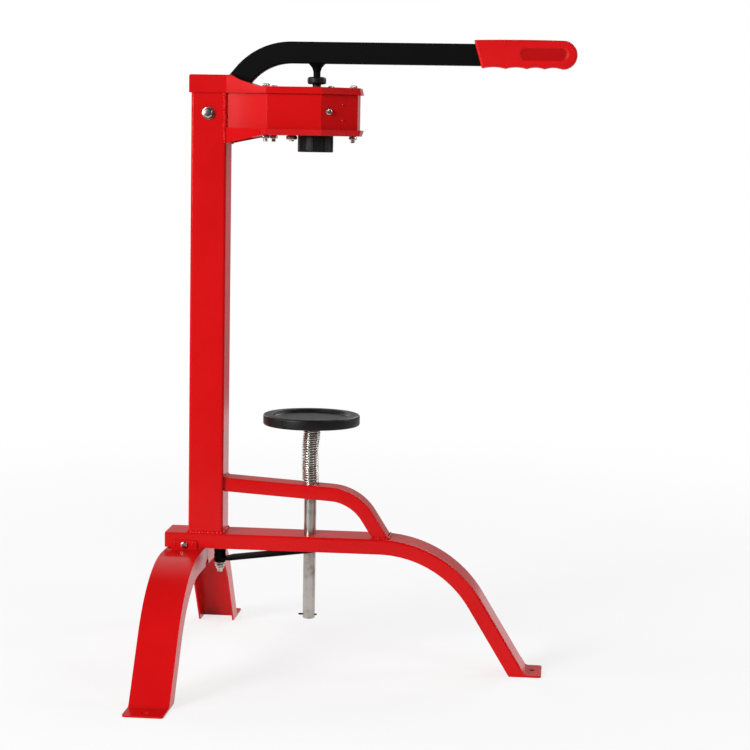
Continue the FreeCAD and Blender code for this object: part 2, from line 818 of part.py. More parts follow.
def drive_place():
    """Drive pin centre in the side plane, half the swing ahead of top dead centre."""
    a = radians(90 - drive_swing / 2)
    return drive_radius * cos(a), pivot_z + drive_radius * sin(a)


def pivot_bolt_part():
    y = column_half + 1.2
    length = column_size + 2.4 + 7.0
    return hex_bolt(pivot_bolt, 10.0, 4.0, length, (0, -y, pivot_z), (0, -1, 0))


def pivot_washers():
    near = ring(7.0, pivot_bolt / 2 + thread_clear, (0, -column_half - 1.2, pivot_z), (0, 1, 0), 1.2)
    return Part.Compound([near, mirrored(near)])


def pivot_nut():
    return hex_nut(pivot_bolt, 10.0, 5.0, (0, column_half + 1.2, pivot_z), (0, 1, 0))


def neck_guide():
    r = guide_diameter / 2
    top = pan_bottom
    body = rod(r, (bore_x, 0, top - guide_height), (0, 0, 1), guide_height)
    rim = long_edges(body, lambda e: e.BoundBox.ZMax < top - guide_height + 0.01 and e.Length > 60)
    body = body.makeChamfer(1.2, rim)
    body = body.fuse(rod(guide_spigot / 2, (bore_x, 0, top), (0, 0, 1), cover_sheet))
    bore = rod(guide_bore / 2, (bore_x, 0, top - guide_height - 1), (0, 0, 1), guide_height + 4)
    mouth = Part.makeCone(guide_bore / 2 + guide_lead, guide_bore / 2, guide_lead,
                          V(bore_x, 0, top - guide_height))
    return body.cut(bore.fuse(mouth)).removeSplitter()


def lever_path(shift):
    a = radians(lever_angle)
    corner = ((lever_centre - pivot_z) / tan(a), lever_centre)
    return shifted([(0, pivot_z), corner, (lever_end, lever_centre)], shift)


def lever_tube():
    half = lever_height / 2
    outer = band(lever_path(-half), [lever_bend + half], lever_height, side)
    tube = thick(outer, V(0, 1, 0), lever_width)
    tube = tube.makeFillet(lever_edge, long_edges(tube, lambda e: e.BoundBox.YLength < 0.01
                                                  and e.Length > lever_height + 1))
    eye = rod(half, (0, -lever_width / 2, pivot_z), (0, 1, 0), lever_width)
    eye = eye.makeChamfer(lever_edge * 0.6, long_edges(eye, lambda e: e.Length > lever_height * 3))
    tube = tube.fuse(eye).removeSplitter()
    inner_path = lever_path(-half + lever_wall)
    start = unit(inner_path[0], inner_path[1])
    inner_path[0] = (inner_path[0][0] + start[0] * 16, inner_path[0][1] + start[1] * 16)
    inner_path[-1] = (inner_path[-1][0] + 1, inner_path[-1][1])
    inner = band(inner_path, [lever_bend + half - lever_wall], lever_height - 2 * lever_wall, side)
    tube = tube.cut(thick(inner, V(0, 1, 0), lever_width - 2 * lever_wall))
    sleeve = pivot_bolt / 2 + pivot_clear + sleeve_wall
    tube = tube.cut(rod(sleeve, (0, -20, pivot_z), (0, 1, 0), 40))
    x, z = drive_place()
    return tube.cut(rod(drive_pin / 2, (x, -20, z), (0, 1, 0), 40))


def pivot_sleeve():
    inner = pivot_bolt / 2 + pivot_clear
    length = column_size - 2 * column_wall - 0.6
    sleeve = ring(inner + sleeve_wall, inner, (0, -length / 2, pivot_z), (0, 1, 0), length)
    x, z = drive_place()
    return sleeve.cut(rod(drive_pin / 2, (x, -20, z), (0, 1, 0), 40))


def drive_pin_part():
    x, z = drive_place()
    half = fork_half_gap + fork_arm + 0.3
    return rod(drive_pin / 2, (x, -half, z), (0, 1, 0), 2 * half)


def grip_profile():
    """Side outline of the grip with its finger notches."""
    top_line = [(grip_start, grip_top - 0.8), (grip_start + 55, grip_top),
                (handle_reach - grip_nose, grip_top - 0.4)]
    edges = [Part.Arc(side(*top_line[0]), side(*top_line[1]), side(*top_line[2])).toShape()]
    end_top = top_line[2]
    end_mid = (handle_reach, (grip_top + grip_cusp) / 2 + 3.5)
    end_low = (cusp_x[-1], grip_cusp)
    edges.append(Part.Arc(side(*end_top), side(*end_mid), side(*end_low)).toShape())
    for a, b in zip(cusp_x[:0:-1], cusp_x[-2::-1]):
        mid = ((a + b) / 2, grip_valley)
        edges.append(Part.Arc(side(a, grip_cusp), side(*mid), side(b, grip_cusp)).toShape())
    edges.append(Part.makeLine(side(cusp_x[0], grip_cusp), side(*top_line[0])))
    return Part.Face(Part.Wire(edges))


def handle_grip():
    body = thick(grip_profile(), V(0, 1, 0), grip_thick)
    half = grip_thick / 2
    rims = long_edges(body, lambda e: e.BoundBox.YLength < 0.01 and e.BoundBox.ZMax > grip_cusp + 4)
    body = body.makeFillet(2.2, rims)
    r = recess_height / 2
    mid = lever_centre + recess_rise
    x1 = handle_reach - recess_back - r
    x0 = handle_reach - recess_back - recess_length + r
    for y in (-half, half - recess_depth):
        stadium = box(x0, x1, y, y + recess_depth, mid - r, mid + r)
        for x in (x0, x1):
            stadium = stadium.fuse(rod(r, (x, y, mid), (0, 1, 0), recess_depth))
        body = body.cut(stadium)
    h = lever_height / 2 + grip_socket
    w = lever_width / 2 + grip_socket
    socket = box(grip_start - 5, lever_end + grip_socket, -w, w, lever_centre - h, lever_centre + h)
    return body.cut(socket)


def plunger_rod():
    top = lever_centre - lever_height / 2
    r = rod_diameter / 2
    flare = flare_diameter / 2
    profile = [side(0, plunger_tip), side(r - 0.6, plunger_tip), side(r, plunger_tip + 0.6),
               side(r, top - flare_height)]
    edges = [Part.makeLine(a, b) for a, b in zip(profile, profile[1:])]
    bulge = side(r + (flare - r) * 0.36, top - flare_height * 0.38)
    edges.append(Part.Arc(profile[-1], bulge, side(flare, top)).toShape())
    edges.append(Part.makeLine(side(flare, top), side(0, top)))
    edges.append(Part.makeLine(side(0, top), side(0, plunger_tip)))
    body = Part.Face(Part.Wire(edges)).revolve(V(0, 0, 0), V(0, 0, 1), 360)
    body.translate(V(plunger_x, 0, 0))
    reach = lever_width / 2 + 0.6
    return body.common(box(0, beyond, -reach, reach, plunger_tip - 1, top + 1))


def stop_knob():
    bore = rod_diameter / 2 + thread_clear
    knob = rod(knob_diameter / 2, (plunger_x, 0, knob_low), (0, 0, 1), knob_high - knob_low)
    rims = long_edges(knob, lambda e: e.Length > 40)
    knob = knob.makeChamfer(1.4, rims)
    knob = knob.fuse(rod(neck_diameter / 2, (plunger_x, 0, neck_low), (0, 0, 1), knob_low - neck_low + 1))
    return knob.removeSplitter().cut(rod(bore, (plunger_x, 0, neck_low - 1), (0, 0, 1), 30))


def bottle_platform():
    r = tray_diameter / 2
    tray = rod(r, (bore_x, 0, tray_low), (0, 0, 1), tray_high - tray_low)
    rims = long_edges(tray, lambda e: e.Length > tray_diameter * 3)
    tray = tray.makeFillet(tray_round, [e for e in rims if e.BoundBox.ZMin > tray_low + 1])
    rims = long_edges(tray, lambda e: e.Length > tray_diameter * 3 and e.BoundBox.ZMax < tray_low + 0.01)
    tray = tray.makeChamfer(tray_round * 0.6, rims)
    recess = Part.makeCone(tray_recess / 2 - 1, tray_recess / 2, tray_recess_depth,
                           V(bore_x, 0, tray_floor))
    tray = tray.cut(recess)
    socket = rod(post_diameter / 2 + 0.02, (bore_x, 0, tray_low - 1), (0, 0, 1), post_seat + 1)
    return tray.cut(socket)


def platform_rod():
    top = tray_low + post_seat
    post = rod(post_diameter / 2, (bore_x, 0, post_low), (0, 0, 1), top - post_low)
    post = post.makeChamfer(0.8, long_edges(post, lambda e: e.BoundBox.ZMax < post_low + 0.01
                                            and e.Length > 40))
    reach = post_diameter
    hole = rod(cotter / 2 + 0.05, (bore_x - reach, 0, cotter_z), (1, 0, 0), 2 * reach)
    return post.cut(hole)


def cotter_pin():
    half = post_diameter / 2
    start = bore_x - half - 1.0
    shank = rod(cotter / 2, (start, 0, cotter_z), (1, 0, 0), post_diameter + 1.0 + cotter_out)
    half_eye = cotter / 3
    eye = ring(cotter_eye, cotter_eye - 2 * half_eye, (start - cotter_eye + half_eye, -half_eye, cotter_z),
               (0, 1, 0), 2 * half_eye)
    return shank.fuse(eye).removeSplitter()


def spring_point(turn):
    """Centre of the wire after so many turns, on a coil whose axis bows a little."""
    t = turn / coils
    a = 2 * pi * turn
    r = coil_diameter / 2
    ease = min(1.0, 5 * t, 5 * (1 - t))
    bow = spring_bow * sin(2 * pi * t - 0.5 * pi) * ease
    low = brace_top_at(bore_x) + spring_tail
    high = tray_low - spring_tail
    return V(bore_x + bow + r * cos(a), r * sin(a), low + (high - low) * t)


def spring_way(turn):
    step = 0.002
    return (spring_point(turn + step) - spring_point(turn - step)).normalize()


def arc_from(start, way, end):
    """Circular arc that leaves start along way and reaches end."""
    chord = end - start
    along_chord = chord * (1 / chord.Length)
    lean = way.dot(along_chord)
    side_way = way - along_chord * lean
    if side_way.Length < 1e-9:
        return Part.makeLine(start, end)
    side_way.normalize()
    bulge = chord.Length / 2 * tan(0.5 * acos(min(1.0, lean)))
    return Part.Arc(start, start + chord * 0.5 + side_way * bulge, end).toShape()


def biarc(start, way, end, end_way):
    """Two arcs that meet smoothly, from start along way to end along end_way."""
    v = end - start
    t = way + end_way
    k = 2 * (1 - way.dot(end_way))
    if abs(k) < 1e-9:
        d = v.dot(v) / (4 * v.dot(end_way))
    else:
        d = (-v.dot(t) + sqrt(v.dot(t) ** 2 + k * v.dot(v))) / k
    middle = (start + end + (way - end_way) * d) * 0.5
    middle_way = (end - start - t * d).normalize()
    return [arc_from(start, way, middle), arc_from(middle, middle_way, end)]


def spring_path():
    """Half-turn biarcs between two short straight tails that stand square on the seats."""
    upright = V(0, 0, 1)
    edges = []
    first = spring_point(0)
    last = spring_point(coils)
    run = wire * 1.1
    foot = V(first.x, first.y - run, brace_top_at(first.x - wire / 2) + spring_seat_gap)
    tip = V(last.x, last.y + run, tray_low)
    foot_top = foot + upright * wire
    tip_low = tip - upright * wire
    edges.append(Part.makeLine(foot, foot_top))
    edges += biarc(foot_top, upright, first, spring_way(0))
    for k in range(2 * coils):
        here = k / 2
        there = here + 0.5
        edges += biarc(spring_point(here), spring_way(here), spring_point(there), spring_way(there))
    edges += biarc(last, spring_way(coils), tip_low, upright)
    edges.append(Part.makeLine(tip_low, tip))
    return edges, foot


def spring_gap():
    """Least clear distance between one turn of the wire and the next."""
    least = 1e9
    steps = 24
    for k in range(coils * steps):
        here = spring_point(k / steps)
        for near in range(-steps // 4, steps // 4 + 1):
            turn = k / steps + 1 + near / steps
            if turn <= coils:
                least = min(least, here.distanceToPoint(spring_point(turn)))
    return least - wire


def platform_spring():
    edges, foot = spring_path()
    steps = [2 * pi * k / wire_sides for k in range(wire_sides)]
    corners = [foot + V(cos(a), sin(a), 0) * (wire / 2) for a in steps]
    section = Part.makePolygon(corners + corners[:1])
    coil = Part.Wire(edges).makePipeShell([section], True, False)
    area = Part.Face(section).Area
    length = sum(e.Length for e in edges)
    print("spring least gap", round(spring_gap(), 3), "volume share",
          round(coil.Volume / (area * length), 4), "foot at", round(foot.z, 3))
    return coil


def lock_mid(x):
    return lock_level + (x - stud_x) * lock_slope


def lock_plate():
    end = bore_x + lock_overhang
    lower = lock_mid(stud_x) - lock_sheet / 2
    strip = polygon([(stud_x, lower), (end, lower + (end - stud_x) * lock_slope),
                     (end, lower + (end - stud_x) * lock_slope + lock_sheet),
                     (stud_x, lower + lock_sheet)], side)
    strip = thick(strip, V(0, 1, 0), lock_width)
    tall = beam_top - stud_low
    ends = rod(lock_width / 2, (end - lock_width / 2, 0, stud_low), (0, 0, 1), tall)
    middle = box(0, end - lock_width / 2, -lock_width, lock_width, stud_low, beam_top)
    plate = strip.common(ends.fuse(middle))
    slim = hub_diameter / 2
    for s in (-1, 1):
        taper = polygon([(stud_x - 9, s * slim), (stud_x + 6, s * slim), (stud_x + 22, s * 20),
                         (stud_x - 9, s * 20)], plan)
        taper.translate(V(0, 0, stud_low))
        plate = plate.cut(taper.extrude(V(0, 0, tall)))
    hub = rod(hub_diameter / 2, (stud_x, 0, hub_low), (0, 0, 1), hub_high - hub_low)
    hub = hub.makeChamfer(1.2, long_edges(hub, lambda e: e.Length > 30))
    plate = plate.fuse(hub).removeSplitter()
    plate = plate.cut(rod(hub_bore / 2, (stud_x, 0, stud_low), (0, 0, 1), tall))
    return plate.cut(rod(lock_hole / 2, (bore_x - 0.4, 0, stud_low), (0, 0, 1), tall))


def lock_stud():
    top = beam_top - beam_sheet
    stud = rod(stud_diameter / 2, (stud_x, 0, stud_low), (0, 0, 1), top - stud_low)
    weld = Part.makeCone(stud_diameter / 2, stud_diameter / 2 + 2.2, 2.2, V(stud_x, 0, top - 2.2))
    return stud.fuse(weld).removeSplitter()


def lock_washer():
    return ring(6.2, stud_diameter / 2 + thread_clear, (stud_x, 0, hub_low - hub_gap), (0, 0, -1), washer_thick)


def lock_nut():
    top = hub_low - hub_gap - washer_thick
    nut = hexagon(10.0, (stud_x, 0, top), (0, 0, -1), 4.6)
    nut = nut.fuse(rod(4.6, (stud_x, 0, top), (0, 0, -1), 6.4))
    nut = nut.removeSplitter()
    return nut.cut(rod(stud_diameter / 2 + thread_clear, (stud_x, 0, top), (0, 0, -1), 8))


def parts():
    leg = rear_leg()
    return {
        "column_tube": column_tube(),
        "base_beam": base_beam(),
        "upper_brace": upper_brace(),
        "rear_leg_left": leg,
        "rear_leg_right": mirrored(leg),
        "leg_bolts": leg_bolts(),
        "leg_nuts": leg_nuts(),
        "head_side_wall": head_side_wall(),
        "head_top_cover": head_top_cover(),
        "head_bottom_cover": head_bottom_cover(),
        "cover_bolts": cover_bolts(),
        "cover_nuts": cover_nuts(),
        "cover_screw": cover_screw(),
        "nose_bolts": nose_bolts(),
        "front_jaw": front_jaw(),
        "rear_jaw": rear_jaw(),
        "left_jaw": side_jaw(90),
        "right_jaw": side_jaw(-90),
        "jaw_guides": jaw_guides(),
        "pusher_fork": pusher_fork(),
        "guide_stud": guide_stud(),
        "guide_nut": guide_nut(),
        "pivot_bolt": pivot_bolt_part(),
        "pivot_washers": pivot_washers(),
        "pivot_nut": pivot_nut(),
        "neck_guide": neck_guide(),
        "lever_tube": lever_tube(),
        "pivot_sleeve": pivot_sleeve(),
        "drive_pin": drive_pin_part(),
        "handle_grip": handle_grip(),
        "plunger_rod": plunger_rod(),
        "stop_knob": stop_knob(),
        "bottle_platform": bottle_platform(),
        "platform_rod": platform_rod(),
        "cotter_pin": cotter_pin(),
        "platform_spring": platform_spring(),
        "lock_plate": lock_plate(),
        "lock_stud": lock_stud(),
        "lock_washer": lock_washer(),
        "lock_nut": lock_nut(),
    }


os.makedirs("parts", exist_ok=True)
for name, shape in parts().items():
    shape.translate(V(column_x, 0, 0))
    solids = len(shape.Solids)
    print(name, solids, shape.isValid(), round(shape.Volume))
    shape.exportStep("parts/" + name + ".step")
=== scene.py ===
import bpy
import random
from math import sin, cos, tan, atan2, floor, hypot, radians, pi, sqrt
from mathutils import Matrix, Vector


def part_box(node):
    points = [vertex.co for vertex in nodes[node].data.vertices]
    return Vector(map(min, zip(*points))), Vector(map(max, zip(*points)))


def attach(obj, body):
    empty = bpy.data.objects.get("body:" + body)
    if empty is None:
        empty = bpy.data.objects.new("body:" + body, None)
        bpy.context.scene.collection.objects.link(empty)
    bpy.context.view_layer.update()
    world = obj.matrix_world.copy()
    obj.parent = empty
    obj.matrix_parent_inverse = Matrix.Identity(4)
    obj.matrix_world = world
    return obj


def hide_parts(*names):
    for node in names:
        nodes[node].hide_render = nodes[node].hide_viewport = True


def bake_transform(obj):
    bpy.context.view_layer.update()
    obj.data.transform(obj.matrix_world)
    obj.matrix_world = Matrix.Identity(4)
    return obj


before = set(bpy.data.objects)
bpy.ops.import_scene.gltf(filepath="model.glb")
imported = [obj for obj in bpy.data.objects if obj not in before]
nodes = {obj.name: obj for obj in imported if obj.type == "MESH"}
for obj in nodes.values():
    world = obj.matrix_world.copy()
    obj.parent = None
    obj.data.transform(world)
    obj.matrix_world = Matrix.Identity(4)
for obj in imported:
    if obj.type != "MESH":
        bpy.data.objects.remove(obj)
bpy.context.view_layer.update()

DOWN = (0, 0, -1)
MM = 0.001
WELD = 1e-6                 # points closer than this become one, in metres
COLUMN_X = -0.1805          # the column's axis, in metres; heights start at the floor
BORE_X = 118.0              # the axis of the tray's bar and of the collar, in mm from the column


def srgb(r, g, b):
    """Colour as it looks on screen, 0 to 255, as the linear colour that shaders take."""
    out = []
    for c in (r, g, b):
        c = c / 255
        out.append(c / 12.92 if c <= 0.04045 else ((c + 0.055) / 1.055) ** 2.4)
    return (*out, 1.0)


class Wire:
    """One value in a material; sums written with it add their own Math nodes."""

    def __init__(self, graph, socket):
        self.graph = graph
        self.socket = socket

    def math(self, operation, *others):
        return self.graph.node("ShaderNodeMath", {"operation": operation}, (self, *others))

    def flipped(self, operation, other):
        return self.graph.node("ShaderNodeMath", {"operation": operation}, (other, self))

    def __add__(self, other):
        return self.math("ADD", other)

    def __radd__(self, other):
        return self.flipped("ADD", other)

    def __sub__(self, other):
        return self.math("SUBTRACT", other)

    def __rsub__(self, other):
        return self.flipped("SUBTRACT", other)

    def __mul__(self, other):
        return self.math("MULTIPLY", other)

    def __rmul__(self, other):
        return self.flipped("MULTIPLY", other)

    def between(self, low, high):
        """0 below low, 1 above high, smooth in between."""
        settings = {"interpolation_type": "SMOOTHSTEP"}
        values = {"Value": self, "From Min": low, "From Max": high}
        return self.graph.node("ShaderNodeMapRange", settings, values)


class Finish:
    """A material under construction, with one method for every kind of node."""

    def __init__(self, name):
        self.material = bpy.data.materials.new(name)
        self.material.use_nodes = True
        self.tree = self.material.node_tree
        self.tree.nodes.clear()
        self.output = self.tree.nodes.new("ShaderNodeOutputMaterial")

    def node(self, kind, settings=None, values=(), out=0):
        made = self.tree.nodes.new(kind)
        for key, value in (settings or {}).items():
            setattr(made, key, value)
        pairs = values.items() if isinstance(values, dict) else enumerate(values)
        for key, value in pairs:
            socket = made.inputs[key]
            if isinstance(value, Wire):
                self.tree.links.new(value.socket, socket)
            elif value is not None:
                socket.default_value = value
        return Wire(self, made.outputs[out])

    def axes(self, place):
        """The x, y and z of a place, each as a value of its own."""
        parts = self.node("ShaderNodeSeparateXYZ", {}, (place,)).socket.node.outputs
        return [Wire(self, parts[k]) for k in range(3)]

    def place(self):
        return self.node("ShaderNodeTexCoord", out="Object")

    def stretched(self, scale):
        return self.node("ShaderNodeMapping", {}, {"Vector": self.place(), "Scale": scale})

    def noise(self, scale, detail=3.0, rough=0.5, vector=None):
        values = {"Vector": vector or self.place(), "Scale": scale, "Detail": detail,
                  "Roughness": rough}
        return self.node("ShaderNodeTexNoise", {}, values)

    def blend(self, factor, a, b):
        made = self.tree.nodes.new("ShaderNodeMix")
        made.data_type = "RGBA"
        for index, value in ((0, factor), (6, a), (7, b)):
            if isinstance(value, Wire):
                self.tree.links.new(value.socket, made.inputs[index])
            else:
                made.inputs[index].default_value = value
        return Wire(self, made.outputs[2])

    def bump(self, height, depth, strength):
        values = {"Height": height, "Distance": depth, "Strength": strength}
        return self.node("ShaderNodeBump", {}, values)

    def rays(self):
        """Whether the light comes from the camera, off a gloss or through a clear thing."""
        path = self.tree.nodes.new("ShaderNodeLightPath")
        names = ("Is Camera Ray", "Is Glossy Ray", "Is Transmission Ray")
        return [Wire(self, path.outputs[name]) for name in names]

    def surface(self, **values):
        named = {key.replace("_", " "): value for key, value in values.items()}
        shader = self.node("ShaderNodeBsdfPrincipled", {}, named)
        self.tree.links.new(shader.socket, self.output.inputs["Surface"])
        return self.material


class Backdrop(Finish):
    """The world under construction, with the same methods."""

    def __init__(self, name):
        world = bpy.data.worlds.new(name)
        bpy.context.scene.world = world
        world.use_nodes = True
        self.tree = world.node_tree


def powder_red():
    """Gloss powder coat: one deep red, with the fine ripple that the coat dries to."""
    f = Finish("powder_red")
    patch = f.noise(9.0, 3.0)
    peel = f.noise(420.0, 2.0, 0.45)
    dust = f.noise(1500.0, 1.0)
    colour = f.blend(patch.between(0.3, 0.7), srgb(200, 13, 16), srgb(208, 17, 19))
    rough = 0.17 + 0.07 * patch
    height = peel * 0.8 + dust * 0.12
    return f.surface(Base_Color=colour, Roughness=rough, Specular_IOR_Level=0.14,
                     Normal=f.bump(height, 0.0002, 0.22))


def lever_black():
    """Thin matt black paint with a fine grain."""
    f = Finish("lever_black")
    patch = f.noise(30.0, 4.0)
    grain = f.noise(900.0, 3.0, 0.6)
    colour = f.blend(patch, srgb(6, 6, 6), srgb(12, 12, 12))
    rough = 0.46 + 0.16 * patch
    return f.surface(Base_Color=colour, Roughness=rough, Specular_IOR_Level=0.06,
                     Normal=f.bump(grain, 0.0002, 0.5))


def moulded_black():
    """Black plastic with the soft sheen of its mould."""
    f = Finish("moulded_black")
    patch = f.noise(40.0, 3.0)
    grain = f.noise(1600.0, 2.0, 0.5)
    colour = f.blend(patch, srgb(13, 13, 13), srgb(22, 22, 22))
    rough = 0.36 + 0.14 * patch
    return f.surface(Base_Color=colour, Roughness=rough, Specular_IOR_Level=0.22,
                     Normal=f.bump(grain, 0.00012, 0.5))


RECESS_FROM = 0.352         # the grip's recess, darkened with painted shade, in metres from the column
RECESS_TO = 0.3897
RECESS_HEIGHT = 0.6977
RECESS_SHADE_EDGE = (0.0058, 0.0078)


def grip_red():
    """Satin red moulding, with painted shade darkening the long recess of its side."""
    f = Finish("grip_red")
    patch = f.noise(35.0, 3.0)
    grain = f.noise(1300.0, 2.0, 0.5)
    x, _, z = f.axes(f.place())
    before = COLUMN_X + RECESS_FROM - x
    beyond = x - (COLUMN_X + RECESS_TO)
    along = before.math("MAXIMUM", beyond).math("MAXIMUM", 0.0)
    up = z - RECESS_HEIGHT
    # painted shade: a soft-edged mask over the grip's recess
    recess_shade = 1.0 - (along * along + up * up).math("SQRT").between(*RECESS_SHADE_EDGE)
    plain = f.blend(patch, srgb(214, 14, 18), srgb(224, 20, 24))
    # the painted shade darkens the colour inside the recess
    colour = f.blend(recess_shade * 0.85, plain, srgb(182, 6, 9))
    rough = 0.34 + 0.1 * patch
    return f.surface(Base_Color=colour, Roughness=rough, Specular_IOR_Level=0.16,
                     Normal=f.bump(grain, 0.00015, 0.4))


def drawn_steel():
    """Bright drawn bar and wire, with faint lengthwise marks and dull patches."""
    f = Finish("drawn_steel")
    lines = f.noise(60.0, 3.0, 0.6, f.stretched((28.0, 28.0, 0.8)))
    dull = f.noise(55.0, 4.0, 0.6)
    colour = f.blend(dull.between(0.4, 0.8), srgb(186, 183, 178), srgb(128, 120, 110))
    rough = 0.2 + 0.16 * dull + 0.08 * lines
    return f.surface(Base_Color=colour, Metallic=0.97, Roughness=rough,
                     Normal=f.bump(lines, 0.0001, 0.35))


def spring_wire():
    """Brighter, smoother wire of the spring."""
    f = Finish("spring_wire")
    dull = f.noise(140.0, 3.0, 0.6)
    colour = f.blend(dull.between(0.35, 0.75), srgb(214, 211, 206), srgb(150, 144, 136))
    rough = 0.1 + 0.1 * dull
    return f.surface(Base_Color=colour, Metallic=1.0, Roughness=rough,
                     Normal=f.bump(f.noise(900.0, 2.0), 0.00005, 0.3))


def zinc_plate():
    """Zinc plate of bolts and nuts, cloudy in places."""
    f = Finish("zinc_plate")
    patch = f.noise(160.0, 3.0)
    grain = f.noise(1500.0, 2.0)
    colour = f.blend(patch.between(0.3, 0.8), srgb(204, 201, 195), srgb(150, 144, 134))
    rough = 0.14 + 0.14 * patch
    return f.surface(Base_Color=colour, Metallic=1.0, Roughness=rough,
                     Normal=f.bump(grain, 0.00008, 0.4))


def cast_brass():
    """Cast brass of the jaws, browned where it is not rubbed."""
    f = Finish("cast_brass")
    patch = f.noise(60.0, 4.0)
    grain = f.noise(700.0, 3.0)
    colour = f.blend(patch.between(0.3, 0.8), srgb(196, 160, 92), srgb(140, 106, 58))
    rough = 0.34 + 0.2 * patch
    return f.surface(Base_Color=colour, Metallic=1.0, Roughness=rough,
                     Normal=f.bump(grain, 0.0002, 0.5))


RED = powder_red()
LEVER = lever_black()
BLACK = moulded_black()
GRIP = grip_red()
STEEL = drawn_steel()
SPRING = spring_wire()
ZINC = zinc_plate()
BRASS = cast_brass()

PLAIN_NODES = {
    LEVER: ["pivot_sleeve"],
    ZINC: ["leg_nuts", "pusher_fork", "guide_stud", "drive_pin", "lock_stud", "jaw_guides"],
    BRASS: ["front_jaw", "rear_jaw", "left_jaw", "right_jaw"],
}
for finish, names in PLAIN_NODES.items():
    for name in names:
        for slot in nodes[name].material_slots:
            slot.material = finish


def at(x, y, z):
    """A place in millimetres from the column's axis and the floor."""
    return Vector((COLUMN_X + x * MM, y * MM, z * MM))


def only(piece):
    """Leaves edit mode and selects the piece alone, or nothing."""
    if bpy.context.mode != "OBJECT":
        bpy.ops.object.mode_set(mode="OBJECT")
    bpy.ops.object.select_all(action="DESELECT")
    if piece:
        piece.select_set(True)
        bpy.context.view_layer.objects.active = piece


def primitive(kind, name, **settings):
    only(None)
    getattr(bpy.ops.mesh, "primitive_" + kind + "_add")(**settings)
    piece = bpy.context.object
    piece.name = name
    bpy.ops.object.transform_apply(location=True, rotation=True, scale=True)
    return piece


def unpick(piece):
    """Selects the piece with none of its faces, edges or points picked."""
    only(piece)
    for group in (piece.data.polygons, piece.data.edges, piece.data.vertices):
        for item in group:
            item.select = False


def push(way):
    """Extrudes what is picked by so many mm."""
    move = {"value": Vector(way) * MM}
    bpy.ops.mesh.extrude_region_move(TRANSFORM_OT_translate=move)


def pick_faces(piece, test):
    """Opens the piece for editing with the faces whose centre and normal pass the test."""
    unpick(piece)
    for face in piece.data.polygons:
        face.select = test(face.center, face.normal)
    bpy.ops.object.mode_set(mode="EDIT")
    bpy.ops.mesh.select_mode(type="FACE")


def modifier(piece, kind, **settings):
    only(piece)
    made = piece.modifiers.new(kind.lower(), kind)
    for key, value in settings.items():
        setattr(made, key, value)
    bpy.ops.object.modifier_apply(modifier=made.name)
    return piece


def edit_all(piece):
    """Opens the piece for editing with all of its points picked."""
    only(piece)
    bpy.ops.object.mode_set(mode="EDIT")
    bpy.ops.mesh.select_mode(type="VERT")
    bpy.ops.mesh.select_all(action="SELECT")


def closed(piece):
    """Merges doubles, fills open ends and turns every face outwards."""
    edit_all(piece)
    bpy.ops.mesh.remove_doubles(threshold=WELD)
    bpy.ops.mesh.fill_holes(sides=0)
    bpy.ops.mesh.select_all(action="SELECT")
    bpy.ops.mesh.normals_make_consistent(inside=False)
    bpy.ops.object.mode_set(mode="OBJECT")
    return piece


def laid(piece, place, way=(0, 0, 1)):
    """Moves a piece made upright at the origin to its place, with its axis along way."""
    turn = Vector((0, 0, 1)).rotation_difference(Vector(way))
    piece.matrix_world = Matrix.Translation(place) @ turn.to_matrix().to_4x4()
    only(piece)
    bpy.ops.object.transform_apply(location=True, rotation=True, scale=True)
    return piece


def copied(piece, name):
    only(piece)
    bpy.ops.object.duplicate(linked=False)
    bpy.context.object.name = name
    return bpy.context.object


def joined(name, pieces):
    only(pieces[0])
    for piece in pieces:
        piece.select_set(True)
    bpy.ops.object.join()
    bpy.context.object.name = name
    return bpy.context.object


def finished(piece, finish, body, replaced=(), angle=32):
    """Gives the piece its surface and body, and hides the nodes that it stands for."""
    only(piece)
    bpy.ops.object.shade_smooth_by_angle(angle=radians(angle))
    piece.data.materials.clear()
    piece.data.materials.append(finish)
    if body:
        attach(piece, body)
    if replaced:
        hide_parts(*replaced)
    return piece


def rounded(corners, radii, steps=4):
    """Outline of (radius, height) points with each inner corner turned over its own radius."""
    out = [corners[0]]
    for before, corner, after, radius in zip(corners, corners[1:], corners[2:], radii):
        here = Vector(corner)
        back = (Vector(before) - here).normalized()
        on = (Vector(after) - here).normalized()
        reach = radius / tan(back.angle(on) / 2)
        start = here + back * reach
        end = here + on * reach
        for k in range(steps + 1):
            t = k / steps
            out.append(tuple((1 - t) ** 2 * start + 2 * t * (1 - t) * here + t ** 2 * end))
    out.append(corners[-1])
    return out


def turned(name, outline, sides=64):
    """Round piece on a vertical axis: a circle drawn through (radius, height) points, in mm."""
    r, h = outline[0]
    piece = primitive("circle", name, vertices=sides, radius=r * MM, location=(0, 0, h * MM))
    edit_all(piece)
    for (r, h), (r1, h1) in zip(outline, outline[1:]):
        push((0, 0, h1 - h))
        scale = r1 / r
        bpy.ops.transform.resize(value=(scale, scale, 1), center_override=(0, 0, h1 * MM))
    return closed(piece)


def hexagon(name, flats, height, both=False):
    """Six-sided block with its corners chamfered on top, and below too on a nut."""
    chamfer = flats * 0.09
    corner_r = flats / sqrt(3)
    piece = primitive("cylinder", name, vertices=6, radius=corner_r * MM,
                      depth=height * MM, location=(0, 0, height / 2 * MM))
    for way in (1, -1) if both else (1,):
        pick_faces(piece, lambda c, n: n.z * way > 0.9)
        bpy.ops.mesh.inset(thickness=chamfer * 1.5 * MM, depth=0)
        only(piece)
    for point in piece.data.vertices:
        corner = hypot(point.co.x, point.co.y) > corner_r * MM * 0.98
        upper = point.co.z > height / 2 * MM
        if corner and (upper or both):
            point.co.z += (-chamfer if upper else chamfer) * MM
    return modifier(piece, "BEVEL", width=0.18 * MM, segments=2, limit_method="ANGLE")


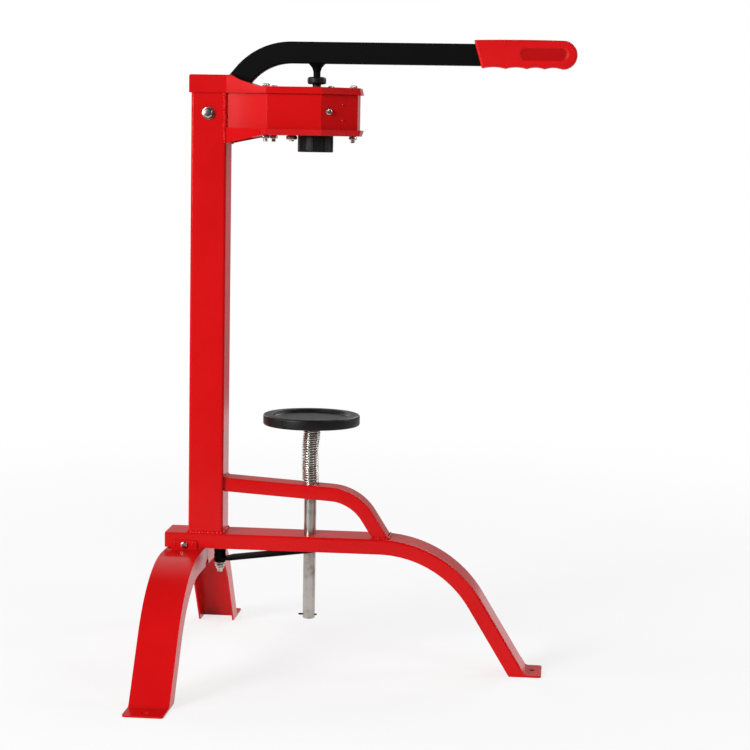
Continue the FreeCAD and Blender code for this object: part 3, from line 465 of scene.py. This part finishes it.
def threaded(name, diameter, low, high, pitch):
    """Threaded length between two heights, as close ridges with a chamfered end below."""
    r = diameter / 2
    root = r * 0.84
    outline = [(r * 0.6, low), (r * 0.82, low + pitch * 0.3)]
    h = low + pitch * 0.6
    while h + pitch < high:
        outline += [(r, h), (r, h + pitch * 0.2), (root, h + pitch * 0.6)]
        h += pitch
    return turned(name, outline + [(root, high)], 24)


def hex_bolt(name, diameter, flats, head, length, thread):
    """Bolt with its head above zero, a plain shank and a threaded end."""
    top = hexagon(name, flats, head)
    r = diameter / 2
    shank = turned(name, [(r, 0), (r, thread - length)], 24)
    end = threaded(name, diameter, -length, thread - length, 0.8)
    return joined(name, [top, shank, end])


def nut(name, diameter, flats, height):
    """Nut standing on zero, with the chamfered mouth of its thread."""
    block = hexagon(name, flats, height, True)
    r = diameter / 2
    bore = r * 1.02
    rim = r * 1.3
    middle = height * 0.5
    lip = turned(name, [(bore, middle), (bore, height - 0.3), (r * 1.25, height + 0.02),
                        (rim, height - 0.2), (rim, middle), (bore, middle)], 24)
    return joined(name, [block, lip])


COVER_TOP = 657.5
PAN_BOTTOM = 604.3
COVER_BOLTS = [(66, -31), (66, 31), (160, 0)]
COVER_SCREW = (133, 16)
GUIDE_STUD_X = 91
NOSE_WAY = Vector((0.5564, -0.8309, 0))
NOSE_BOLTS = [((136, -34.45, 631), NOSE_WAY), ((136, 34.45, 631), Vector((0.5564, 0.8309, 0)))]


def cover_fasteners():
    """Bolts through the head from cover to pan, the cover's screw and the stud's nut."""
    bolt = hex_bolt("cover_bolt_set", diameter=5, flats=8, head=3.2,
                    length=COVER_TOP - PAN_BOTTOM + 7.5, thread=14)
    lock = nut("cover_nut_set", diameter=5, flats=8, height=4)
    bolts = [laid(copied(bolt, "bolt"), at(x, y, COVER_TOP)) for x, y in COVER_BOLTS]
    nuts = [laid(copied(lock, "nut"), at(x, y, PAN_BOTTOM), DOWN) for x, y in COVER_BOLTS]
    finished(joined("cover_bolt_set", bolts), ZINC, "frame", ["cover_bolts"])
    finished(joined("cover_nut_set", nuts), ZINC, "frame", ["cover_nuts"])
    for spare in (bolt, lock):
        bpy.data.objects.remove(spare)
    screw = hex_bolt("cover_screw_head", diameter=4, flats=7, head=2.8, length=9.5, thread=6)
    laid(screw, at(*COVER_SCREW, COVER_TOP))
    finished(screw, ZINC, "frame", ["cover_screw"])
    stud_nut = nut("guide_nut_hex", diameter=5, flats=11, height=5)
    laid(stud_nut, at(GUIDE_STUD_X, 0, PAN_BOTTOM), DOWN)
    finished(stud_nut, ZINC, "frame", ["guide_nut"])


def nose_fasteners():
    """Two bolts square to the slanted faces of the nose."""
    bolt = hex_bolt("nose_bolt_set", diameter=4, flats=7, head=2.8, length=6.5, thread=4)
    places = [laid(copied(bolt, "bolt"), at(*place), way) for place, way in NOSE_BOLTS]
    finished(joined("nose_bolt_set", places), ZINC, "frame", ["nose_bolts"])
    bpy.data.objects.remove(bolt)


def washer(name, outer, inner, height):
    """Flat ring between two radii, standing on zero."""
    corners = [(inner, 0), (outer, 0), (outer, height), (inner, height), (inner, 0)]
    return turned(name, rounded(corners, [height * 0.3] * 3, 2), 40)


PIVOT_HEIGHT = 627.4
PIVOT_SIDE = 21.2           # from the middle to the washers' outer faces
PIVOT_WASHER = 1.2


def pivot_fasteners():
    """Bolt, nut and two washers on which the hand lever turns."""
    near = at(0, -PIVOT_SIDE, PIVOT_HEIGHT)
    bolt = hex_bolt("pivot_bolt_hex", diameter=6, flats=10, head=4, length=49.4, thread=8)
    finished(laid(bolt, near, (0, -1, 0)), ZINC, "frame", ["pivot_bolt"])
    end = nut("pivot_nut_hex", diameter=6, flats=10, height=5)
    finished(laid(end, at(0, PIVOT_SIDE, PIVOT_HEIGHT), (0, 1, 0)), ZINC, "frame", ["pivot_nut"])
    ring = washer("washer", 7, 3.05, PIVOT_WASHER)
    rings = [laid(copied(ring, "washer"), near, (0, 1, 0)),
             laid(ring, at(0, PIVOT_SIDE - PIVOT_WASHER, PIVOT_HEIGHT), (0, 1, 0))]
    finished(joined("pivot_washer_pair", rings), ZINC, "frame", ["pivot_washers"])


LEG_BOLT = (-23.2, 26, 138.6)


def leg_fasteners():
    """One bolt through the lip of each rear leg."""
    x, y, z = LEG_BOLT
    bolt = hex_bolt("leg_bolt_pair", diameter=4, flats=7, head=2.8, length=8.9, thread=4)
    near = laid(copied(bolt, "bolt"), at(x, -y, z), (0, -1, 0))
    far = laid(bolt, at(x, y, z), (0, 1, 0))
    finished(joined("leg_bolt_pair", [near, far]), ZINC, "frame", ["leg_bolts"])


LOCK_X = 14.0
LOCK_SEAT = 116 - 0.6       # underside of the lock arm's hub, with its play
LOCK_WASHER = 1.5


def lock_fasteners():
    """Washer and self-locking nut under the lock arm."""
    seat = at(LOCK_X, 0, LOCK_SEAT - LOCK_WASHER)
    ring = laid(washer("lock_washer_ring", 6.2, 3.05, LOCK_WASHER), seat)
    finished(ring, ZINC, "frame", ["lock_washer"])
    block = hexagon("lock_nut_hex", 10, 4.6, True)
    corners = [(3.05, 4.4), (4.6, 4.4), (4.6, 6.4), (3.4, 6.4), (3.05, 5.9)]
    insert = turned("collar", rounded(corners, [0.1, 0.6, 0.3], 3), 32)
    lock = laid(joined("lock_nut_hex", [block, insert]), seat, DOWN)
    finished(lock, ZINC, "frame", ["lock_nut"])


def own_copy(node, name):
    """A copy of the node's mesh that carries none of the node's own marks."""
    piece = copied(nodes[node], name)
    for key in list(piece.keys()):
        if key.startswith("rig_"):
            del piece[key]
    return piece


def shape_of(node, name):
    """A piece with the node's own shape, as one merged skin with flat faces kept whole."""
    piece = own_copy(node, name)
    edit_all(piece)
    bpy.ops.mesh.remove_doubles(threshold=WELD)
    bpy.ops.mesh.dissolve_limited(angle_limit=radians(0.4))
    bpy.ops.object.mode_set(mode="OBJECT")
    return piece


def rolled(piece, width, angle=28, segments=2):
    """Turns the piece's edges over a small radius."""
    return modifier(piece, "BEVEL", width=width * MM, segments=segments, limit_method="ANGLE",
                    angle_limit=radians(angle), use_clamp_overlap=True, miter_outer="MITER_SHARP")


def dressed(piece, finish, body, *replaced):
    """Finishes a sheet piece so that its flat faces shade flat up to their rolled edges."""
    finished(piece, finish, body, replaced, 60)
    return modifier(piece, "WEIGHTED_NORMAL", weight=80, keep_sharp=True)


def soft_edged(node, name, finish, width, body="frame", angle=28):
    return dressed(rolled(shape_of(node, name), width, angle), finish, body, node)


def round_edges(piece, test, width, segments):
    """Rounds the edges whose two ends pass the test, in mm from the column's axis."""
    unpick(piece)
    for edge in piece.data.edges:
        ends = [(piece.data.vertices[k].co - at(0, 0, 0)) / MM for k in edge.vertices]
        edge.select = test(*ends)
    bpy.ops.object.mode_set(mode="EDIT")
    bpy.ops.mesh.select_mode(type="EDGE")
    bpy.ops.mesh.bevel(offset=width * MM, segments=segments, affect="EDGES", clamp_overlap=True)
    bpy.ops.object.mode_set(mode="OBJECT")
    return piece


CAP_REACH = 22.0            # half the width of the cap over the column
CAP_FRONT = 26
CAP_TOP_FROM = 669.9
HEAD_FOLD = 14              # folds of the head below this angle stay unrolled, in degrees


def cover():
    """Top cover: the pressed cap over the column has a generously rounded top rim."""
    piece = shape_of("head_top_cover", "head_cover")

    def on_cap(*ends):
        top = all(v.z > CAP_TOP_FROM and v.x < CAP_FRONT for v in ends)
        side = all(abs(abs(v.y) - CAP_REACH) < 0.05 for v in ends)
        rear = all(v.x < -CAP_REACH + 0.05 for v in ends)
        return top and (side or rear)

    round_edges(piece, on_cap, 2.2, 4)
    return dressed(rolled(piece, 0.45, HEAD_FOLD), RED, "frame", "head_top_cover")


PANEL_START = 20.0
PANEL_END = 68.6
PANEL_HOLLOW = 0.6
PANEL_STRIPS = 8


def head_wall():
    """Side wall of the head; its first panels are drawn slightly hollow by the weld."""
    piece = shape_of("head_side_wall", "head_wall")
    length = PANEL_END - PANEL_START
    for k in range(1, PANEL_STRIPS):
        only(piece)
        bpy.ops.object.mode_set(mode="EDIT")
        bpy.ops.mesh.select_all(action="SELECT")
        place = at(PANEL_START + length * k / PANEL_STRIPS, 0, 0)
        bpy.ops.mesh.bisect(plane_co=place, plane_no=(1, 0, 0))
    only(piece)
    for point in piece.data.vertices:
        t = ((point.co.x - COLUMN_X) / MM - PANEL_START) / length
        if 0 < t < 1:
            inwards = -PANEL_HOLLOW if point.co.y > 0 else PANEL_HOLLOW
            point.co.y += inwards * sin(pi * t) * MM
    return dressed(rolled(piece, 0.7, HEAD_FOLD), RED, "frame", "head_side_wall")


BRACE_START = 20.02         # just clear of the column's front face
BRACE_TOP = 215.8
BRACE_HALF = 15.0
BRACE_DEPTH = 16.0
BRACE_SLOPE = radians(3.5)
BRACE_FALL = radians(57.4)
BRACE_CORNER_X = 174.7
BRACE_BEND = 62.0
BEAM_TOP = 152.02


def brace():
    """Box-section brace: pushed out on its slope, spun round its bend, run down to the beam."""
    start = Vector((BRACE_START, 0, BRACE_TOP))
    corner_z = BRACE_TOP - (BRACE_CORNER_X - 20) * tan(BRACE_SLOPE)
    corner = Vector((BRACE_CORNER_X, 0, corner_z))
    way = Vector((cos(BRACE_SLOPE), 0, -sin(BRACE_SLOPE)))
    down = Vector((cos(BRACE_FALL), 0, -sin(BRACE_FALL)))
    square = Vector((sin(BRACE_SLOPE), 0, cos(BRACE_SLOPE)))
    turn = BRACE_FALL - BRACE_SLOPE
    bend_start = corner - way * (BRACE_BEND * tan(turn / 2))
    run = (bend_start - start).dot(way)
    centre = start + way * run - square * BRACE_BEND
    low = BRACE_TOP - BRACE_DEPTH / cos(BRACE_SLOPE)
    piece = primitive("plane", "brace", size=1)
    ends = [(y, z) for z in (low, BRACE_TOP) for y in (-BRACE_HALF, BRACE_HALF)]
    for point, (y, z) in zip(piece.data.vertices, ends):
        point.co = at(BRACE_START, y, z)
    edit_all(piece)
    push(way * run)
    bpy.ops.mesh.spin(steps=12, angle=turn, center=at(*centre), axis=(0, -1, 0))
    push(down * ((bend_start.z - 140) / sin(BRACE_FALL)))
    bpy.ops.mesh.select_all(action="SELECT")
    bpy.ops.mesh.bisect(plane_co=at(0, 0, BEAM_TOP), plane_no=(0, 0, 1), clear_inner=True,
                        use_fill=True)
    closed(piece)
    return dressed(rolled(piece, 1.8, 40, 3), RED, "frame", "upper_brace")


FLAP_CORNERS = [(20.9, 1.9, 594.6), (61.0, 2.0, 603.6), (20.9, 4.3, 612.0), (61.0, 4.3, 611.1)]
FLAP_FLARE = 0.3992         # how fast the head widens from the column


def pan_flaps():
    """Deep flaps of the bottom pan beside the column, which rise to the pan's flat floor."""
    pieces = []
    for side in (-1, 1):
        piece = primitive("plane", "flap", size=1)
        for point, (x, out, z) in zip(piece.data.vertices, FLAP_CORNERS):
            point.co = at(x, side * (20 + (x - 20) * FLAP_FLARE + out), z)
        modifier(piece, "SOLIDIFY", thickness=1.4 * MM, offset=0)
        pieces.append(rolled(closed(piece), 0.45))
    return dressed(joined("pan_side_flaps", pieces), RED, "frame")


def sheet_parts():
    """Tubes, pressed sheets and the lever, from their solids."""
    soft_edged("column_tube", "column", RED, 0.5)
    soft_edged("base_beam", "beam_and_front_leg", RED, 0.8)
    brace()
    soft_edged("rear_leg_left", "left_leg", RED, 0.8)
    soft_edged("rear_leg_right", "right_leg", RED, 0.8)
    head_wall()
    cover()
    soft_edged("head_bottom_cover", "head_pan", RED, 0.5, angle=HEAD_FOLD)
    pan_flaps()
    soft_edged("lever_tube", "hand_lever", LEVER, 0.4, "lever")
    soft_edged("lock_plate", "lock_arm", LEVER, 0.5, "lock")


def grip():
    """Moulded grip: the node's shape melted over its edges, as a soft moulding is."""
    piece = closed(own_copy("handle_grip", "moulded_grip"))
    modifier(piece, "REMESH", mode="VOXEL", voxel_size=0.7 * MM)
    modifier(piece, "SMOOTH", factor=0.5, iterations=10)
    return finished(piece, GRIP, "lever", ["handle_grip"], 180)


PLUNGER_X = 118.5


def heights(node):
    """Lowest and highest point of a node, in mm."""
    low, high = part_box(node)
    return low.z / MM, high.z / MM


def plunger():
    """Rod with a flare of weld under the lever, flattened to the lever's width."""
    low, high = heights("plunger_rod")
    r = 4.0
    flare = 9.5
    rise = 9.2
    flat = 7.55 * MM
    outline = rounded([(r * 0.2, low), (r, low), (r, high - rise), (r + 1.4, high - rise * 0.5),
                       (flare, high)], [0.7, 3.0, 4.0], 5)
    piece = turned("plunger_and_flare", outline + [(flare * 0.2, high)], 48)
    laid(piece, at(PLUNGER_X, 0, 0))
    for point in piece.data.vertices:
        point.co.y = max(-flat, min(flat, point.co.y))
    finished(piece, LEVER, "lever", ["plunger_rod"])


def knob():
    """Stop knob: a neck with a disc on top, turned in one."""
    low, high = heights("stop_knob")
    bore = 4.1
    neck = 4.75
    rim = 10.5
    disc = high - 8.1
    outline = rounded([(bore, low), (neck, low), (neck, disc), (rim, disc), (rim, high),
                       (5.2, high), (bore, high - 0.5)], [0.3, 1.2, 2.6, 2.8, 0.6], 6)
    piece = turned("stop_disc", outline + [(bore, low)], 56)
    finished(laid(piece, at(PLUNGER_X, 0, 0)), BLACK, "lever", ["stop_knob"])


def tray():
    """Round tray with a well on top, a hub for the bar below and the mark of its mould gate."""
    low, high = heights("bottle_platform")
    outer = 55.0
    well = 44.5
    bore = 7.1
    centre = 0.5
    bottom = high - 4.0
    socket = low + 4.9
    under = low + 1.6
    outline = [(centre, bottom), (well - 8, bottom), (well - 2, bottom), (well, high),
               (outer, high), (outer, low), (outer - 7, low), (outer - 8.5, under), (14, under),
               (12.5, low), (bore, low), (bore, socket), (centre, socket)]
    radii = [1.0, 2.2, 1.0, 2.6, 2.4, 0.6, 1.0, 0.8, 0.5, 0.3, 0.3]
    piece = turned("tray", rounded(outline, radii, 5), 96)
    laid(piece, at(BORE_X, 0, 0))
    gate = at(BORE_X - 24, -49.5, (low + high) / 2 - 1)
    pick_faces(piece, lambda c, n: (c - gate).length < 3.4 * MM and abs(n.z) < 0.2)
    bpy.ops.mesh.inset(thickness=0.5 * MM, depth=-0.7 * MM)
    only(piece)
    finished(piece, BLACK, "platform", ["bottle_platform"])


COLLAR_SIDES = 72


def collar():
    """Neck collar, with shallow pockets round its outside."""
    low, high = heights("neck_guide")
    seat = high - 1.5
    outer = 20.0
    bore = 14.5
    spigot = 17.0
    outline = [(bore, high), (spigot, high), (spigot, seat), (outer, seat), (outer, low),
               (bore + 2.5, low), (bore, low + 2.5), (bore, high)]
    radii = [0.2, 0.2, 0.8, 1.5, 0.8, 0.8]
    piece = turned("neck_collar", rounded(outline, radii, 4), COLLAR_SIDES)
    laid(piece, at(BORE_X, 0, 0))
    middle = (low + seat) / 2 * MM

    def in_pocket(c, n):
        outside = abs(n.z) < 0.1 and from_bore(c) > (outer - 0.4) * MM
        return outside and abs(c.z - middle) < 2 * MM and pocket_turn(c)

    pick_faces(piece, in_pocket)
    bpy.ops.mesh.inset(thickness=0.7 * MM, depth=-0.8 * MM)
    only(piece)
    finished(piece, BLACK, "frame", ["neck_guide"])


def from_bore(point):
    """Distance from the axis of the collar, in metres."""
    return hypot(point.x - COLUMN_X - BORE_X * MM, point.y)


def pocket_turn(point):
    """True for three faces of every six round the collar."""
    turn = atan2(point.y, point.x - COLUMN_X - BORE_X * MM) / (2 * pi) * COLLAR_SIDES
    return floor(turn) % 6 < 3


def bar():
    """Round bar under the tray, with a chamfered lower end."""
    low, high = heights("platform_rod")
    outline = rounded([(0.5, low), (6.6, low), (7.0, low + 0.8), (7.0, high), (0.5, high)],
                      [0.3, 0.4, 0.3], 3)
    piece = turned("platform_bar", outline, 56)
    finished(laid(piece, at(BORE_X, 0, 0)), STEEL, "platform", ["platform_rod"])


def wire(name, points, thickness, radii=None, sides=2):
    """Round wire through the points, made a mesh; thickness in mm, radii as shares of it."""
    only(None)
    curve = bpy.data.curves.new(name, "CURVE")
    curve.dimensions = "3D"
    curve.bevel_depth = thickness / 2 * MM
    curve.bevel_resolution = sides
    curve.use_fill_caps = True
    spline = curve.splines.new("POLY")
    spline.points.add(len(points) - 1)
    for k, (point, place) in enumerate(zip(spline.points, points)):
        point.co = (*place, 1)
        point.radius = radii[k] if radii else 1
    piece = bpy.data.objects.new(name, curve)
    bpy.context.scene.collection.objects.link(piece)
    only(piece)
    bpy.ops.object.convert(target="MESH")
    return closed(bpy.context.object)


SPRING_TURNS = 24
SPRING_STEPS = 28           # points in each turn
SPRING_RADIUS = 8.95
SPRING_WIRE = 1.8
SPRING_BOW = 0.54           # share of its height at which the spring stands off furthest


def brace_top(x):
    """Height of the sloping brace under the spring."""
    return BRACE_TOP - (x - 20) * tan(BRACE_SLOPE)


def spring_lean(t):
    """How far the coil stands off its axis, from -1 mm at its bow to 1 mm at the tray."""
    if t < SPRING_BOW:
        return -cos(pi / 2 * (SPRING_BOW - t) / SPRING_BOW)
    return cos(pi * (1 - t) / (1 - SPRING_BOW))


def spring():
    """Coil that bows a little, with its lowest turn laid on the slope of the brace."""
    low, high = heights("platform_spring")
    seat = brace_top(BORE_X)
    clear = SPRING_WIRE / 2 + 0.06
    first = seat + clear
    rise = high - clear - first
    count = SPRING_TURNS * SPRING_STEPS
    points = []
    for k in range(count + 1):
        t = k / count
        turn = 2 * pi * k / SPRING_STEPS
        even = t + 0.01 * sin(4 * pi * t)
        x = BORE_X + spring_lean(t) + SPRING_RADIUS * cos(turn)
        slope = (brace_top(x) - seat) * max(0, 1 - t * SPRING_TURNS / 3)
        points.append(at(x, SPRING_RADIUS * sin(turn), first + rise * even + slope))
    piece = wire("coil_spring", points, SPRING_WIRE, sides=3)
    finished(piece, SPRING, None, ["platform_spring"], 60)
    base = at(BORE_X, 0, low)
    top = at(BORE_X, 0, high)
    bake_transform(piece)


def weld_bead(name, corners, width):
    """Uneven bead of weld metal along straight runs between the corners, in mm."""
    chance = random.Random(name)
    points = []
    radii = []
    for a, b in zip(corners, corners[1:]):
        run = Vector(b) - Vector(a)
        count = max(2, int(run.length / 0.8))
        for k in range(count + (b is corners[-1])):
            ripple = 1 + 0.2 * sin(k * 1.5) + chance.uniform(-0.2, 0.2)
            place = Vector(a) + run * (k / count)
            place += Vector([chance.uniform(-0.3, 0.3) for _ in range(3)])
            points.append(at(*place))
            radii.append(ripple)
    piece = wire(name, points, width, radii)
    modifier(piece, "SMOOTH", factor=0.5, iterations=1)
    finished(piece, RED, "frame", angle=180)


def welds():
    """Beads round the column's foot, up the head's rear edges and at both ends of the brace."""
    foot = 152.3
    half = 20.2
    ring = [(-half, -half), (half, -half), (half, half), (-half, half), (-half, -half)]
    weld_bead("column_foot_weld", [(x, y, foot) for x, y in ring], 3.8)
    for tag, way in (("near", -1), ("far", 1)):
        weld_bead("head_weld_" + tag, [(19.0, way * 20.4, 594), (18.6, way * 20.5, 650)], 5.2)
    low, high, side = 200.5, 215.4, 14.5
    weld_bead("brace_column_weld", [(half, -side, low), (half, -side, high), (half, side, high),
                                    (half, side, low)], 3.0)
    rear = 191.4
    front = 209.8
    side = 15.2
    level = 152.2
    weld_bead("brace_foot_weld", [(rear, -side, level), (front, -side, level),
                                  (front + 0.2, side, level), (rear, side, level)], 2.6)


def stamped(name, mark, places):
    """One piece made of copies of a mark, each at its place and pointing its way."""
    marks = [laid(copied(mark, "mark"), at(*place), way) for place, way in places]
    bpy.data.objects.remove(mark)
    finished(joined(name, marks), RED, "frame", angle=60)


def punched_marks():
    """Small round dimples on the nose faces and press marks on the leg lips."""
    edge = [(0.2, 0.9), (0.9, 0.9), (1.7, 0), (1.7, -0.3)]
    dimple = turned("dimple", rounded(edge, [0.4, 0.3], 3), 24)
    x = 151.2
    y = 34.45 - (x - 136) * 25.4 / 37.9
    stamped("nose_dimples", dimple, [((x, side * y, z), (NOSE_WAY.x, -side * NOSE_WAY.y, 0))
                                     for side in (-1, 1) for z in (638.8, 621.3)])
    edge = [(0.1, 0.7), (0.8, 0.7), (1.3, 0), (1.3, -0.3)]
    ridge = turned("ridge", rounded(edge, [0.4, 0.3], 3), 20)
    ridge.scale = (1.0, 2.6, 1.0)
    only(ridge)
    bpy.ops.object.transform_apply(scale=True)
    stamped("lip_press_marks", ridge, [((x, side * 26, 138.8), (0, side, 0))
                                       for side in (-1, 1) for x in (-33.5, -12.8)])


def lock_details():
    """Stop rings on the lock's hub."""
    bore = 4.1
    ring = 6.9
    waist = 6.2
    outline = [(bore, 116.1), (ring, 116.1), (ring, 118), (waist, 118.6), (waist, 121),
               (ring, 121.6), (ring, 124), (waist, 124.6), (waist, 127), (6.8, 127.6),
               (6.8, 129.4), (waist, 129.9), (bore, 129.9), (bore, 116.1)]
    piece = laid(turned("lock_hub_rings", outline, 40), at(LOCK_X, 0, 0))
    finished(piece, LEVER, "lock")


def cotter():
    """Split pin: a dark doubled wire with its eye outside the bar and its ends spread."""
    z = 57.5
    eye = BORE_X - 8.2
    end = BORE_X + 8.9

    def leg(side):
        return [(end, side * 1.3, z), (end - 1.4, side * 0.8, z), (eye, side * 0.8, z)]

    turns = [pi * k / 12 for k in range(1, 12)]
    loop = [(eye - 3.4 * sin(a), 1.9 * cos(a), z) for a in turns]
    points = leg(1) + loop + leg(-1)[::-1]
    piece = wire("split_pin", [at(*p) for p in points], 1.5)
    finished(piece, LEVER, "platform", ["cotter_pin"], 60)


sheet_parts()
grip()
plunger()
knob()
tray()
collar()
bar()
cotter()
spring()
cover_fasteners()
nose_fasteners()
pivot_fasteners()
leg_fasteners()
lock_fasteners()
lock_details()
welds()
punched_marks()


def studio():
    """Pale round floor, plain near the piece for its shadow and white further out."""
    only(None)
    bpy.ops.mesh.primitive_circle_add(vertices=96, radius=1.7, fill_type="NGON",
                                      location=(0, 0.5, 0))
    ground = bpy.context.object
    ground.name = "studio_floor"
    f = Finish("studio_floor")
    x, y, _ = f.axes(f.place())
    away = (x * x + y * y).math("SQRT")
    far = 0.74 + 0.26 * away.between(0.5, 1.5)
    camera_ray, gloss_ray, clear_ray = f.rays()
    seen = camera_ray.math("MAXIMUM", gloss_ray).math("MAXIMUM", clear_ray)
    plain = f.node("ShaderNodeBsdfDiffuse", {}, {"Color": srgb(244, 244, 245)})
    white = f.node("ShaderNodeEmission", {}, {"Color": (1, 1, 1, 1), "Strength": 1.0})
    mixed = f.node("ShaderNodeMixShader", {}, (far * seen, plain, white))
    f.tree.links.new(mixed.socket, f.output.inputs["Surface"])
    ground.data.materials.append(f.material)


def surroundings():
    """White where the camera looks, and high behind for the gloss; a dim room for the light."""
    w = Backdrop("studio")
    _, y, z = w.axes(w.node("ShaderNodeTexCoord", out="Generated"))
    camera_ray, gloss_ray, clear_ray = w.rays()
    behind = y.between(0.3, 0.7) * z.between(0.25, 0.5)
    room = 0.06 + 0.3 * y.between(0.2, 0.98)
    level = room.math("MAXIMUM", camera_ray).math("MAXIMUM", clear_ray)
    level = level.math("MAXIMUM", gloss_ray * behind)
    back = w.tree.nodes["Background"]
    back.inputs["Color"].default_value = (1, 1, 1, 1)
    w.tree.links.new(level.socket, back.inputs["Strength"])


def softbox(name, place, aim, size, power):
    """Rectangular lamp at a place, turned towards a point of the piece; power in watts."""
    bpy.ops.object.light_add(type="AREA", location=place)
    lamp = bpy.context.object
    lamp.name = name
    lamp.data.shape = "RECTANGLE"
    lamp.data.size, lamp.data.size_y = size
    lamp.data.energy = power
    way = Vector(aim) - Vector(place)
    lamp.rotation_euler = way.to_track_quat("-Z", "Y").to_euler()


CAMERA_PLACE = (0.40306 + COLUMN_X, -2.23979, 0.59285)
CAMERA_RIGHT = Vector((0.99513761, 0.09686196, 0.01785765))
CAMERA_UP = Vector((-0.02862214, 0.11090895, 0.99341833))


def camera():
    """Long lens at the place from which the photograph was taken."""
    bpy.ops.object.camera_add()
    cam = bpy.context.object
    back = CAMERA_RIGHT.cross(CAMERA_UP)
    turn = Matrix((CAMERA_RIGHT, CAMERA_UP, back)).transposed().to_4x4()
    cam.matrix_world = Matrix.Translation(CAMERA_PLACE) @ turn
    cam.data.lens = 96
    cam.data.sensor_width = 36
    cam.data.clip_end = 100
    bpy.context.scene.camera = cam


studio()
surroundings()
SOFTBOXES = [
    ("key", (-1.9, -2.3, 1.25), (0, 0, 0.4), (1.0, 1.4), 86),
    ("left", (-2.4, -0.4, 1.6), (0, -0.1, 0.3), (0.7, 1.3), 16),
    ("fill", (1.9, -1.6, 1.5), (0, 0, 0.3), (0.7, 1.2), 10),
    ("right", (2.4, 0.8, 1.2), (0, 0, 0.4), (0.8, 1.2), 20),
    ("back", (0.9, 2.3, 1.7), (0, 0, 0.4), (1.6, 0.8), 26),
    ("back_left", (-1.8, 1.9, 1.3), (0, 0, 0.4), (0.8, 1.2), 14),
]
for box in SOFTBOXES:
    softbox(*box)
camera()
bpy.context.scene.view_settings.view_transform = "Standard"
